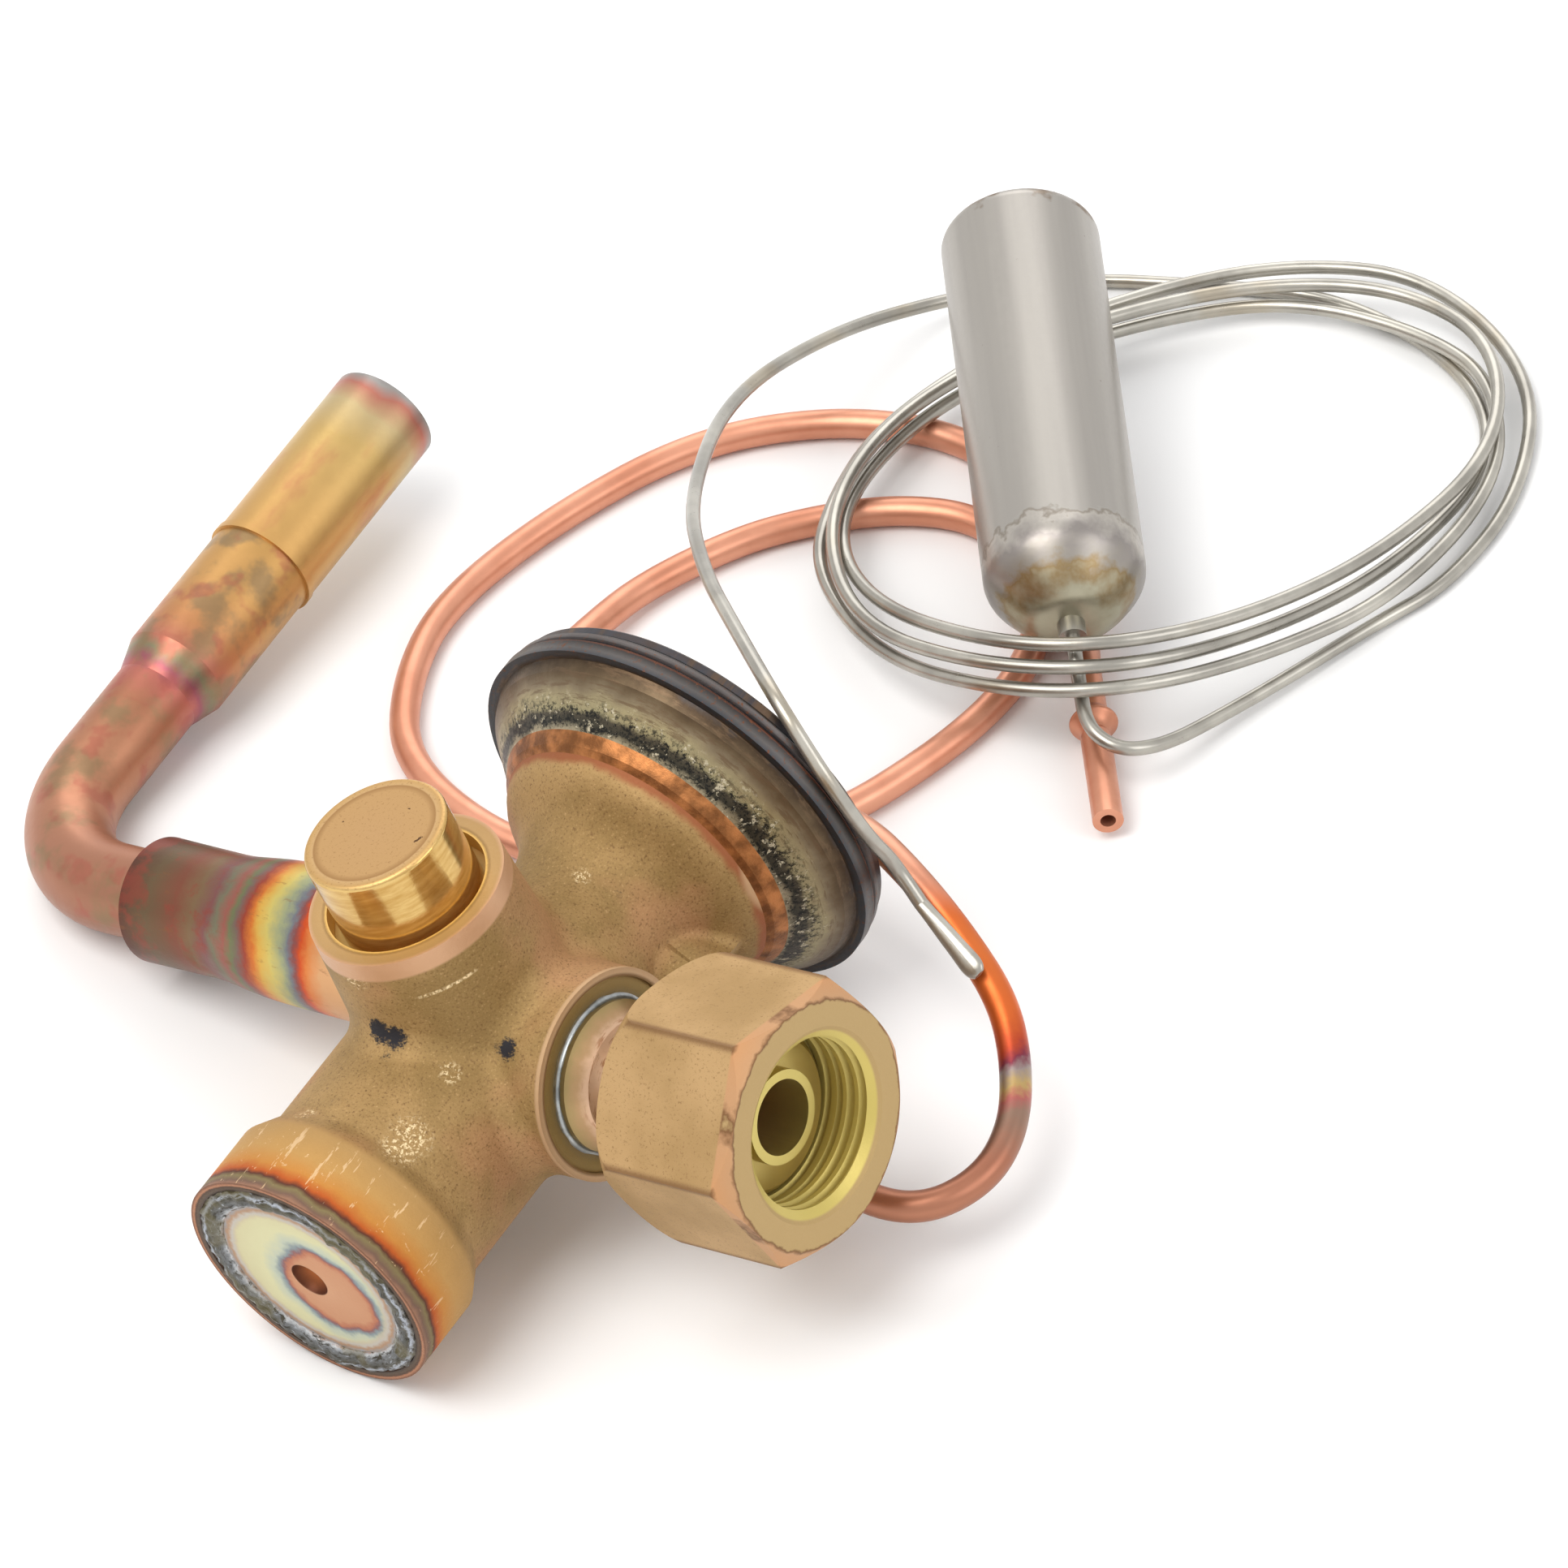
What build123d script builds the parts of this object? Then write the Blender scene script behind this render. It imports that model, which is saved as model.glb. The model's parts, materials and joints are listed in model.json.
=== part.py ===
from build123d import *
from math import asin, cos, hypot, pi, radians, sin, sqrt, tan
import os

# Thermostatic expansion valve lying on a bench as it comes to rest.
# The valve is drawn about the crossing of its axes: X runs out of the inlet,
# Y runs away from the spindle cap, Z runs into the power head. All in mm.
# Forged body
BARREL_R = 12.7
BARREL_TOP = 4.0
COLLAR_R = 14.45
COLLAR_LENGTH = 8.6
COLLAR_BEVEL = 3.3
BASE_DROP = 33.9
WAIST_R = 10.0
WAIST_Z = 18.5
FLANGE_R = 16.2
FLANGE_Z = 27.7
FLANGE_EDGE = 0.8
BOSS_BLEND = 3.0
EQUALISER_BLEND = 1.2

# Inside of the body
BORE_R = 9.0
WEB_Z = 3.0
CHAMBER_R = 5.0
CHAMBER_TOP = 12.0
GUIDE_Z = 15.0
GUIDE_LENGTH = 2.0
CAVITY_R = 3.5

# Closing plug and its weld
PLUG_R = 10.6
PLUG_LENGTH = 6.0
PLUG_SINK = 0.3
DIMPLE_R = 2.2
DIMPLE_DEPTH = 1.7
WELD_R = 13.3
WELD_DEPTH = 1.0
WELD_CROWN = 0.3

# Inlet boss, stub and union nut
INLET_BOSS_R = 11.2
INLET_BOSS_REACH = 16.4
INLET_RECESS_R = 10.3
INLET_RECESS = 0.4
STUB_R = 8.0
STUB_SEAT = 10.5
STUB_SHOULDER = 17.0
STUB_CONE = 1.9
STUB_NECK_R = 6.4
STUB_BORE_R = 3.97
STUB_COLLAR_R = 8.6
STUB_COLLAR_START = 33.5
STUB_COLLAR_END = 37.8
STUB_COLLAR_BEVEL = 0.7
STUB_NOSE_R = 4.95
STUB_NOSE_END = 39.5
INLET_DRILL_R = 4.0
NUT_BACK = 25.5
NUT_FRONT = 44.0
NUT_CORNER_R = 15.0
NUT_TURN = 43.0
NUT_FRONT_R = 13.0
NUT_FRONT_BEVEL = 1.8
NUT_BACK_R = 11.5
NUT_BACK_ROUND = 3.4
NUT_WALL = 5.5
NUT_THREAD_R = 8.8
NUT_THREAD_START = 39.5
NUT_RELIEF_R = 9.0
NUT_MOUTH_R = 10.2
NUT_MOUTH_BEVEL = 0.9
NUT_PLAY = 0.3

# Strainer inside the stub
STRAINER_START = 14.0
STRAINER_END = 27.5
STRAINER_RIM = 1.5
STRAINER_TIP_R = 1.2
STRAINER_WALL = 0.3

# Spindle boss, spindle and cap
CAP_BOSS_R = 10.8
CAP_BOSS_FOOT_R = 12.0
CAP_BOSS_REACH = 23.4
CAP_RECESS_R = 8.8
CAP_RECESS_REACH = 21.2
CAP_R = 7.9
CAP_REACH = 31.65
CAP_WALL = 1.85
CAP_EDGE = 0.5
CAP_GAP = 0.2
NECK_REACH = 25.0
SPINDLE_R = 3.0
SPINDLE_HEAD_R = 4.2
SPINDLE_HEAD = 1.0
SPINDLE_STEM_R = 2.2
SPINDLE_PROUD = 2.5
SPINDLE_SLOT = 0.8
GLAND_R = 4.4
GLAND_DEPTH = 6.5
SEAL_LENGTH = 2.0
ECCENTRICITY = 1.2
ECCENTRIC_R = 0.8
RUNNING = 0.05

# Outlet boss, socket, elbow and end tube
OUTLET_Z = 8.0
OUTLET_BOSS_R = 10.0
OUTLET_BOSS_REACH = 17.5
OUTLET_DRILL_R = 3.5
SOCKET_R = 7.9
SOCKET_SEAT = 10.5
SOCKET_NECK_R = 6.8
SOCKET_NECK_START = 44.0
SOCKET_TAPER_START = 30.0
SOCKET_END = 54.3
SOCKET_BORE_R = 6.4
ELBOW_R = 5.0
ELBOW_BORE_R = 4.1
ELBOW_SEAT = 46.0
ELBOW_CORNER = 76.15
ELBOW_BEND_R = 15.0
ELBOW_LEAN = 1.25
SWAGE_START = 26.5
SWAGE_LENGTH = 3.9
SWAGE_R = 6.2
SWAGE_BORE_R = 5.45
SWAGE_END = 47.2
END_TUBE_R = 6.35
END_TUBE_BORE_R = 5.55
END_TUBE_SPIGOT = 8.0
END_TUBE_SPIGOT_WALL = 0.7
END_TUBE_BEAD = 0.2
END_TUBE_BEAD_LENGTH = 0.9
END_TUBE_LENGTH = 25.3

# Orifice, pin, push rod, spring and carrier
ORIFICE_R = 1.6
SEAT_THICKNESS = 3.5
PIN_TIP_R = 0.9
PIN_TIP_REACH = 1.4
PIN_BODY_R = 3.0
PIN_CONE = 3.0
PIN_FLANGE_R = 5.4
PIN_FLANGE_DROP = 4.5
PIN_FLANGE_LENGTH = 1.5
PIN_GUIDE_R = 3.4
PIN_GUIDE_LENGTH = 4.0
ROD_R = 1.5
ROD_TIP_R = 0.8
ROD_STEP = 9.0
ROD_TOP = 33.0
GLAND_RING_R = 3.0
PAD_R = 12.0
PAD_HUB_R = 3.4
PAD_EDGE = 1.4
SPRING_WIRE_R = 0.55
SPRING_R = 4.6
SPRING_COILS = 6
CARRIER_CLEARANCE = 0.1
CARRIER_FLOOR = 2.0
CARRIER_DEPTH = 8.0
CARRIER_WALL = 1.6
CARRIER_LIFT = 2.0
CARRIER_ARM_WIDTH = 6.0
CARRIER_ARM_THICKNESS = 1.5
CARRIER_SLOT_PLAY = 0.1
CARRIER_SLOT_RUN = 0.6
CARRIER_ARM_RISE = 1.2

# Power head
CUP_HOLE_R = 8.0
CUP_WALL = 1.2
CUP_FOOT_R = 16.6
CUP_SHOULDER_R = 22.0
CUP_SHOULDER_Z = 33.0
CUP_RIM_R = 23.76
CUP_RIM_Z = 34.3
CUP_RIM_THICKNESS = 1.9
DIAPHRAGM_INSET = 0.6
DIAPHRAGM_THICKNESS = 0.2
CLAMP_R = 23.5
CLAMP_WIDTH = 2.6
CLAMP_THICKNESS = 1.1
COVER_R = 23.0
COVER_RIM_THICKNESS = 1.3
COVER_RISE = 3.4
COVER_CROWN_R = 9.0
COVER_WALL = 1.1
COVER_SHOULDER_R = 20.6
LIP_BEVEL = 0.25
SPIGOT_R = 1.4
SPIGOT_LENGTH = 5.0
PAD_GAP = 0.2

# Brazed joints
BRAZE = 0.9
HEAD_BRAZE = 1.1

# Equaliser tube
EQUALISER_ANGLE = 40.0
EQUALISER_BOSS_R = 5.75
EQUALISER_BOSS_REACH = 14.0
EQUALISER_Z = 19.0
EQUALISER_DRILL_R = 1.0
EQUALISER_R = 1.7
EQUALISER_BORE_R = 0.85
EQUALISER_END_LENGTH = 22.4
EQUALISER_BEAD_R = 2.7
EQUALISER_BEAD_AT = 6.6
EQUALISER_BEAD_LENGTH = 3.4
EQUALISER_NECK_R = 1.45
EQUALISER_NECK_LENGTH = 0.6

# Capillary tube and sensing bulb
CAPILLARY_R = 0.8
LEAD = 3.0
BULB_R = 9.0
BULB_LENGTH = 50.0
BULB_EDGE = 1.6
BULB_SHOULDER = 4.2
BULB_DOME = 7.4
BULB_SHOULDER_INSET = 1.2
BULB_CROWN_R = 4.0
BULB_CROWN_DROP = 0.5
NIPPLE_R = 1.55
NIPPLE_LENGTH = 2.0

# Way the rest pose is turned, as a direction in the valve's own axes that ends up pointing away
AWAY = (-0.631, 0.618, 0.469)

# Free tubes: points on their centre lines, in mm on the bench from the point below the crossing
# of the valve's axes, with X to the right, Y away and Z up
BULB_FAR = (69.5, 115.85, 20.9)
BULB_WAY = (-0.037, -0.987, -0.155)
EQUALISER_ROUTE = [
    (29.2, -3.5, 9.8), (31.1, -11.4, 8.6), (34.9, -18.6, 8.1), (41.1, -21.9, 8.0),
    (47.5, -19.6, 8.4), (51.5, -14.1, 9.6), (53.0, -6.9, 11.6),
    (52.5, 0.1, 14.2), (49.6, 7.4, 17.0), (45.8, 14.4, 19.6), (41.1, 22.6, 20.2),
    (34.3, 31.4, 17.5), (24.5, 40.5, 12.7), (14.5, 51.3, 7.8), (9.5, 61.4, 5.7),
    (9.5, 72.2, 4.2), (15.1, 80.8, 3.0), (22.3, 87.7, 2.2), (32.5, 93.0, 1.8),
    (41.4, 94.8, 1.75), (50.6, 94.5, 1.75), (59.0, 90.9, 1.75), (63.9, 83.5, 1.75),
    (65.0, 74.9, 1.75), (62.0, 65.5, 1.75), (56.4, 58.1, 1.75), (48.9, 51.8, 1.75),
    (38.9, 45.9, 1.75), (26.0, 42.4, 1.75), (12.8, 43.5, 1.75), (1.0, 52.4, 1.75),
    (-6.2, 65.6, 1.75), (-5.5, 78.5, 1.75), (-0.0, 90.2, 1.75), (12.4, 101.5, 1.75),
    (29.0, 110.5, 1.75), (45.0, 111.4, 1.75), (58.3, 105.6, 1.75), (66.3, 94.3, 1.75),
    (69.3, 80.4, 1.75), (69.0, 71.1, 1.75), (68.8, 65.9, 1.85),
]
EQUALISER_END = (68.4, 59.4, 2.8)
EQUALISER_END_WAY = (-0.03, -1.0, 0.0)
CAPILLARY_ROUTE = [
    (67.2, 52.4, 8.15), (67.3, 49.4, 7.1), (68.1, 47.0, 6.5),
    (69.9, 45.3, 5.9), (72.5, 45.2, 5.1), (76.3, 47.2, 3.8), (81.6, 51.0, 2.6),
    (89.5, 56.5, 1.6), (100.5, 63.7, 1.0), (109.9, 69.8, 0.9), (119.4, 82.5, 1.0),
    (123.3, 100.9, 1.6), (115.2, 118.5, 2.5), (100.0, 124.8, 3.1), (83.4, 123.6, 3.4),
    (66.6, 117.3, 4.0), (52.0, 105.8, 5.0), (44.3, 94.0, 5.0), (41.7, 81.7, 5.0),
    (47.2, 65.5, 6.4), (59.3, 53.7, 9.2), (73.2, 50.6, 9.4), (88.0, 56.5, 6.0),
    (103.3, 66.1, 3.6), (116.3, 81.8, 3.0), (119.1, 98.6, 2.8), (112.7, 109.8, 2.8),
    (99.5, 118.5, 2.6), (83.6, 119.3, 2.7), (67.6, 114.6, 3.3), (53.3, 103.7, 4.8),
    (44.9, 89.2, 5.6), (47.3, 71.9, 8.6), (59.2, 57.3, 13.0), (73.2, 53.8, 13.2),
    (88.0, 60.2, 9.2), (103.2, 71.1, 5.8), (116.7, 85.6, 4.9), (119.8, 103.0, 4.8),
    (111.4, 115.4, 4.6), (96.6, 120.1, 4.7), (80.5, 118.8, 5.0), (64.4, 113.3, 5.6),
    (50.8, 101.8, 7.0), (43.6, 86.4, 7.6), (45.6, 69.5, 8.2), (57.3, 56.2, 11.2),
    (72.9, 52.3, 11.2), (89.5, 60.5, 6.2), (104.7, 72.0, 3.0), (116.7, 88.0, 1.3),
    (116.4, 104.4, 1.0), (105.6, 119.3, 0.9), (91.1, 126.4, 0.9), (75.5, 130.8, 1.1),
    (60.8, 128.3, 3.2), (47.0, 118.0, 9.0), (34.9, 97.8, 18.4), (29.0, 69.8, 29.4),
    (29.0, 48.8, 36.9), (31.2, 33.8, 41.2), (33.5, 22.5, 43.2), (35.1, 17.5, 42.4),
    (36.6, 14.9, 40.0), (38.2, 12.7, 37.2), (40.1, 11.7, 33.0), (41.9, 11.5, 28.8),
    (43.4, 11.9, 25.5),
]
TONGUE_START = (46.0, 9.6, 20.6)
TONGUE_END = (50.8, 1.1, 17.2)
TONGUE_PRESS = (1.25, 1.5, -1.9)
TONGUE_WAY_IN = (0.42, -0.60, -0.68)

# Sections of the flattened end: share of its length, share of the turn into its own direction,
# half of the width and half of the thickness
TONGUE_SHAPE = [
    (0.12, 0.5, 0.84, 0.77), (0.28, 1, 0.93, 0.73), (0.5, 1, 1.06, 0.70), (0.72, 1, 1.18, 0.69),
    (0.86, 1, 1.24, 0.66), (0.95, 1, 1.05, 0.52), (1, 1, 0.60, 0.28),
]

# Directions that the turned pieces stand along
TO_INLET = Plane((0, 0, 0), x_dir=(0, 1, 0), z_dir=(1, 0, 0)).location
TO_CAP = Plane((0, 0, 0), x_dir=(1, 0, 0), z_dir=(0, -1, 0)).location
TO_OUTLET = Plane((0, 0, OUTLET_Z), x_dir=(0, 1, 0), z_dir=(-1, 0, 0)).location
EQUALISER_WAY = (cos(radians(EQUALISER_ANGLE)), sin(radians(EQUALISER_ANGLE)), 0)
TO_EQUALISER = Plane((0, 0, EQUALISER_Z), x_dir=(0, 0, 1), z_dir=EQUALISER_WAY).location
LEG_WAY = (-sin(radians(ELBOW_LEAN)), 0, cos(radians(ELBOW_LEAN)))
TO_LEG = Plane((-ELBOW_CORNER, 0, OUTLET_Z), x_dir=(0, 1, 0), z_dir=LEG_WAY).location

# Heights that several pieces share
PLUG_INNER = -BASE_DROP + PLUG_LENGTH
SEAT_TOP = WEB_Z + SEAT_THICKNESS
PIN_FLANGE_BOTTOM = WEB_Z - PIN_FLANGE_DROP - PIN_FLANGE_LENGTH
CARRIER_BOTTOM = PLUG_INNER + CARRIER_LIFT
SPRING_BOTTOM = CARRIER_BOTTOM + CARRIER_FLOOR
CARRIER_R = BORE_R - CARRIER_CLEARANCE
CUP_TOP = CUP_RIM_Z + CUP_RIM_THICKNESS
DIAPHRAGM_TOP = CUP_TOP + DIAPHRAGM_THICKNESS
CLAMP_TOP = DIAPHRAGM_TOP + CLAMP_THICKNESS
COVER_SHOULDER_Z = CLAMP_TOP + COVER_RIM_THICKNESS
COVER_TOP = COVER_SHOULDER_Z + COVER_RISE
GLAND_REACH = NECK_REACH - GLAND_DEPTH
SPINDLE_REACH = NECK_REACH + SPINDLE_PROUD
SEAL_TOP = GLAND_REACH + SPINDLE_HEAD + SEAL_LENGTH
NECK_R = CAP_R - CAP_WALL - RUNNING


def face_of(*profile):
    """Flat face in the XZ plane inside a closed outline of (radius, height) points."""
    return make_face(Polyline(*[(r, 0, z) for r, z in profile], close=True))


def bulged(start, end, bulge):
    """Arc in the XZ plane between two (radius, height) points, bowed out sideways by the bulge."""
    (r0, z0), (r1, z1) = start, end
    length = hypot(r1 - r0, z1 - z0)
    middle = ((r0 + r1) / 2 - bulge * (z1 - z0) / length, 0, (z0 + z1) / 2 + bulge * (r1 - r0) / length)
    return ThreePointArc((r0, 0, z0), middle, (r1, 0, z1))


def turned(*profile):
    """Solid turned about Z from a closed outline of (radius, height) points."""
    return revolve(face_of(*profile), Axis.Z)


def rod(radius, start, end):
    """Round bar along Z."""
    return turned((0, start), (radius, start), (radius, end), (0, end))


def ring(inner, outer, start, end):
    """Plain ring along Z."""
    return turned((inner, start), (outer, start), (outer, end), (inner, end))


def block(x0, x1, y0, y1, z0, z1):
    """Square block between two corners."""
    centre = ((x0 + x1) / 2, (y0 + y1) / 2, (z0 + z1) / 2)
    return Pos(*centre) * Box(x1 - x0, y1 - y0, z1 - z0)


def body_stem():
    """Barrel with its thick collar below and the flared seat of the power head above."""
    side = Polyline(
        (0, 0, -BASE_DROP),
        (COLLAR_R, 0, -BASE_DROP),
        (COLLAR_R, 0, -BASE_DROP + COLLAR_LENGTH),
        (BARREL_R, 0, -BASE_DROP + COLLAR_LENGTH + COLLAR_BEVEL),
        (BARREL_R, 0, BARREL_TOP),
    )
    flare_height = FLANGE_Z - FLANGE_EDGE - WAIST_Z
    flare_width = FLANGE_R - WAIST_R
    flare = Spline(
        (BARREL_R, 0, BARREL_TOP),
        (WAIST_R, 0, WAIST_Z),
        (WAIST_R + 0.20 * flare_width, 0, WAIST_Z + 0.36 * flare_height),
        (WAIST_R + 0.53 * flare_width, 0, WAIST_Z + 0.60 * flare_height),
        (FLANGE_R, 0, FLANGE_Z - FLANGE_EDGE),
        tangents=[(0, 0, 1), (0.35, 0, 1)],
    )
    top = Polyline(
        (FLANGE_R, 0, FLANGE_Z - FLANGE_EDGE),
        (FLANGE_R, 0, FLANGE_Z),
        (0, 0, FLANGE_Z),
        (0, 0, -BASE_DROP),
    )
    return revolve(make_face(side + flare + top), Axis.Z)


def body_bosses():
    """The four bosses that stand out of the barrel, each with the radius it blends in with."""
    cap_boss = turned(
        (0, 0), (CAP_BOSS_FOOT_R, 0), (CAP_BOSS_R, CAP_BOSS_REACH), (0, CAP_BOSS_REACH)
    )
    return [
        (TO_CAP * cap_boss, BOSS_BLEND),
        (TO_INLET * rod(INLET_BOSS_R, 0, INLET_BOSS_REACH), BOSS_BLEND),
        (TO_OUTLET * rod(OUTLET_BOSS_R, 0, OUTLET_BOSS_REACH), BOSS_BLEND),
        (TO_EQUALISER * rod(EQUALISER_BOSS_R, 0, EQUALISER_BOSS_REACH), EQUALISER_BLEND),
    ]


def spindle_boss_hollow():
    """Recess round the neck of the spindle boss, and the stepped hole through the neck."""
    recess = ring(NECK_R, CAP_RECESS_R, CAP_RECESS_REACH, CAP_BOSS_REACH + 1)
    shaft = rod(SPINDLE_R + RUNNING, 0, NECK_REACH + 1)
    gland = rod(GLAND_R, GLAND_REACH, NECK_REACH + 1)
    return TO_CAP * (recess + shaft + gland)


def valve_body():
    """Forged body with its bosses blended in, bored out for the valve's works."""
    body = body_stem()
    for boss, blend in body_bosses():
        joined = body + boss
        body = fillet(new_edges(body, boss, combined=joined), blend)
    body += TO_CAP * rod(NECK_R, CAP_RECESS_REACH, NECK_REACH)
    body -= rod(BORE_R, -BASE_DROP - 1, WEB_Z)
    body -= rod(PLUG_R, -BASE_DROP - 1, PLUG_INNER)
    body -= rod(WELD_R, -BASE_DROP - 1, -BASE_DROP + WELD_DEPTH)
    body -= rod(CHAMBER_R, WEB_Z - 1, CHAMBER_TOP)
    body -= rod(GLAND_RING_R, CHAMBER_TOP - 1, GUIDE_Z)
    body -= rod(ROD_R + RUNNING, GUIDE_Z - 1, GUIDE_Z + GUIDE_LENGTH + 1)
    body -= rod(CAVITY_R, GUIDE_Z + GUIDE_LENGTH, FLANGE_Z + 1)
    body -= TO_INLET * rod(INLET_DRILL_R, 0, STUB_SEAT + 1)
    body -= TO_INLET * rod(STUB_R, STUB_SEAT, INLET_BOSS_REACH + 1)
    body -= TO_INLET * rod(INLET_RECESS_R, INLET_BOSS_REACH - INLET_RECESS, INLET_BOSS_REACH + 1)
    body -= TO_OUTLET * rod(OUTLET_DRILL_R, 0, SOCKET_SEAT + 1)
    body -= TO_OUTLET * rod(SOCKET_R, SOCKET_SEAT, OUTLET_BOSS_REACH + 1)
    body -= TO_EQUALISER * rod(EQUALISER_DRILL_R, 0, EQUALISER_BOSS_REACH + 1)
    return body - spindle_boss_hollow()


def bottom_plug():
    """Closing plug sunk a little in the collar, with a centre dimple from pressing it in."""
    face_z = -BASE_DROP + PLUG_SINK
    plug = rod(PLUG_R, face_z, PLUG_INNER)
    sphere_r = (DIMPLE_R ** 2 + DIMPLE_DEPTH ** 2) / (2 * DIMPLE_DEPTH)
    return plug - Pos(0, 0, face_z + DIMPLE_DEPTH - sphere_r) * Sphere(sphere_r)


def bottom_weld_ring():
    """Crowned weld bead between the plug and the collar."""
    root = -BASE_DROP + WELD_DEPTH
    face_z = -BASE_DROP + PLUG_SINK
    crown = -BASE_DROP - WELD_CROWN
    middle = (PLUG_R + WELD_R) / 2
    outline = Polyline(
        (PLUG_R, 0, face_z), (PLUG_R, 0, root), (WELD_R, 0, root), (WELD_R, 0, -BASE_DROP)
    )
    bead = ThreePointArc((WELD_R, 0, -BASE_DROP), (middle, 0, crown), (PLUG_R, 0, face_z))
    return revolve(make_face(outline + bead), Axis.Z)


def inlet_stub():
    """Turned stub brazed in the inlet boss, with the collar that holds the nut and a short nose."""
    stub = turned(
        (STUB_BORE_R, STUB_SEAT),
        (STUB_R, STUB_SEAT),
        (STUB_R, STUB_SHOULDER),
        (STUB_NECK_R, STUB_SHOULDER + STUB_CONE),
        (STUB_NECK_R, STUB_COLLAR_START),
        (STUB_COLLAR_R, STUB_COLLAR_START),
        (STUB_COLLAR_R, STUB_COLLAR_END - STUB_COLLAR_BEVEL),
        (STUB_COLLAR_R - STUB_COLLAR_BEVEL, STUB_COLLAR_END),
        (STUB_NOSE_R, STUB_COLLAR_END),
        (STUB_NOSE_R, STUB_NOSE_END),
        (STUB_BORE_R, STUB_NOSE_END),
    )
    return TO_INLET * stub


def inlet_strainer():
    """Pointed gauze thimble with its rim against the wall of the stub."""
    shoulder = STRAINER_END - STRAINER_RIM
    inner_r = STUB_BORE_R - STRAINER_WALL
    return TO_INLET * turned(
        (0, STRAINER_START),
        (STRAINER_TIP_R, STRAINER_START + STRAINER_WALL),
        (inner_r, shoulder),
        (STUB_BORE_R, shoulder),
        (STUB_BORE_R, STRAINER_END),
        (inner_r - STRAINER_WALL, STRAINER_END),
        (inner_r - STRAINER_WALL, shoulder),
        (STRAINER_TIP_R - STRAINER_WALL, STRAINER_START + 2 * STRAINER_WALL),
        (0, STRAINER_START + STRAINER_WALL),
    )


def inlet_nut():
    """Hexagon union nut, rounded at the back and bevelled at the front, held by the collar."""
    profile = Polyline(
        (0, 0, NUT_FRONT),
        (NUT_FRONT_R, 0, NUT_FRONT),
        (NUT_CORNER_R, 0, NUT_FRONT - NUT_FRONT_BEVEL),
        (NUT_CORNER_R, 0, NUT_BACK + NUT_BACK_ROUND),
    )
    back = bulged(
        (NUT_CORNER_R, NUT_BACK + NUT_BACK_ROUND), (NUT_BACK_R, NUT_BACK), NUT_BACK_ROUND * 0.25
    )
    closing = Polyline((NUT_BACK_R, 0, NUT_BACK), (0, 0, NUT_BACK), (0, 0, NUT_FRONT))
    turned_blank = revolve(make_face(profile + back + closing), Axis.Z)
    hexagon = RegularPolygon(NUT_CORNER_R, 6, rotation=90 + NUT_TURN)
    bar = extrude(Pos(0, 0, NUT_BACK) * hexagon, NUT_FRONT - NUT_BACK)
    hole = rod(STUB_NECK_R + NUT_PLAY, NUT_BACK - 1, NUT_BACK + NUT_WALL + 1)
    relief = rod(NUT_RELIEF_R, NUT_BACK + NUT_WALL, NUT_THREAD_START)
    thread = rod(NUT_THREAD_R, NUT_BACK + NUT_WALL, NUT_FRONT + 1)
    mouth = turned(
        (0, NUT_FRONT - NUT_MOUTH_BEVEL),
        (NUT_THREAD_R, NUT_FRONT - NUT_MOUTH_BEVEL),
        (NUT_MOUTH_R, NUT_FRONT),
        (NUT_MOUTH_R, NUT_FRONT + 1),
        (0, NUT_FRONT + 1),
    )
    return TO_INLET * ((turned_blank & bar) - hole - relief - thread - mouth)


def braze_fillet(radius, start, size):
    """Ring of braze in the corner between a tube and the face it stands out of."""
    return turned((radius, start), (radius + size, start), (radius, start + size))


def adjusting_spindle():
    """Stepped spindle with a slotted end outside and an eccentric pin inside."""
    inner_end = CARRIER_R + 0.5
    spindle = turned(
        (0, inner_end),
        (SPINDLE_R, inner_end),
        (SPINDLE_R, GLAND_REACH + RUNNING),
        (SPINDLE_HEAD_R, GLAND_REACH + RUNNING),
        (SPINDLE_HEAD_R, GLAND_REACH + SPINDLE_HEAD - RUNNING),
        (SPINDLE_STEM_R, GLAND_REACH + SPINDLE_HEAD - RUNNING),
        (SPINDLE_STEM_R, SPINDLE_REACH),
        (0, SPINDLE_REACH),
    )
    pin_end = CARRIER_R - CARRIER_ARM_THICKNESS - 0.3
    spindle += Pos(ECCENTRICITY, 0, 0) * rod(ECCENTRIC_R, pin_end, inner_end)
    slot = block(
        -SPINDLE_R, SPINDLE_R, -SPINDLE_SLOT / 2, SPINDLE_SLOT / 2,
        SPINDLE_REACH - 2 * SPINDLE_SLOT, SPINDLE_REACH + 1,
    )
    return TO_CAP * (spindle - slot)


def spindle_seal_ring():
    """Packing ring round the spindle's stem."""
    return TO_CAP * ring(SPINDLE_STEM_R + RUNNING, GLAND_R, GLAND_REACH + SPINDLE_HEAD, SEAL_TOP)


def spindle_gland_nut():
    """Slotted ring that presses on the packing and ends level with the neck."""
    nut = ring(SPINDLE_STEM_R + RUNNING, GLAND_R, SEAL_TOP, NECK_REACH)
    slot = block(
        -GLAND_R, GLAND_R, -SPINDLE_SLOT / 2, SPINDLE_SLOT / 2,
        NECK_REACH - 2 * SPINDLE_SLOT, NECK_REACH + 1,
    )
    return TO_CAP * (nut - slot)


def spindle_cap():
    """Smooth round cap over the neck, hollow inside, with a softened edge."""
    foot = CAP_RECESS_REACH + CAP_GAP
    shell = turned(
        (NECK_R + RUNNING, foot),
        (CAP_R, foot),
        (CAP_R, CAP_REACH),
        (0, CAP_REACH),
        (0, CAP_REACH - CAP_WALL),
        (NECK_R + RUNNING, CAP_REACH - CAP_WALL),
    )
    top_edge = shell.edges().filter_by(GeomType.CIRCLE).group_by(Axis.Z)[-1]
    return TO_CAP * fillet(top_edge, CAP_EDGE)


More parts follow.
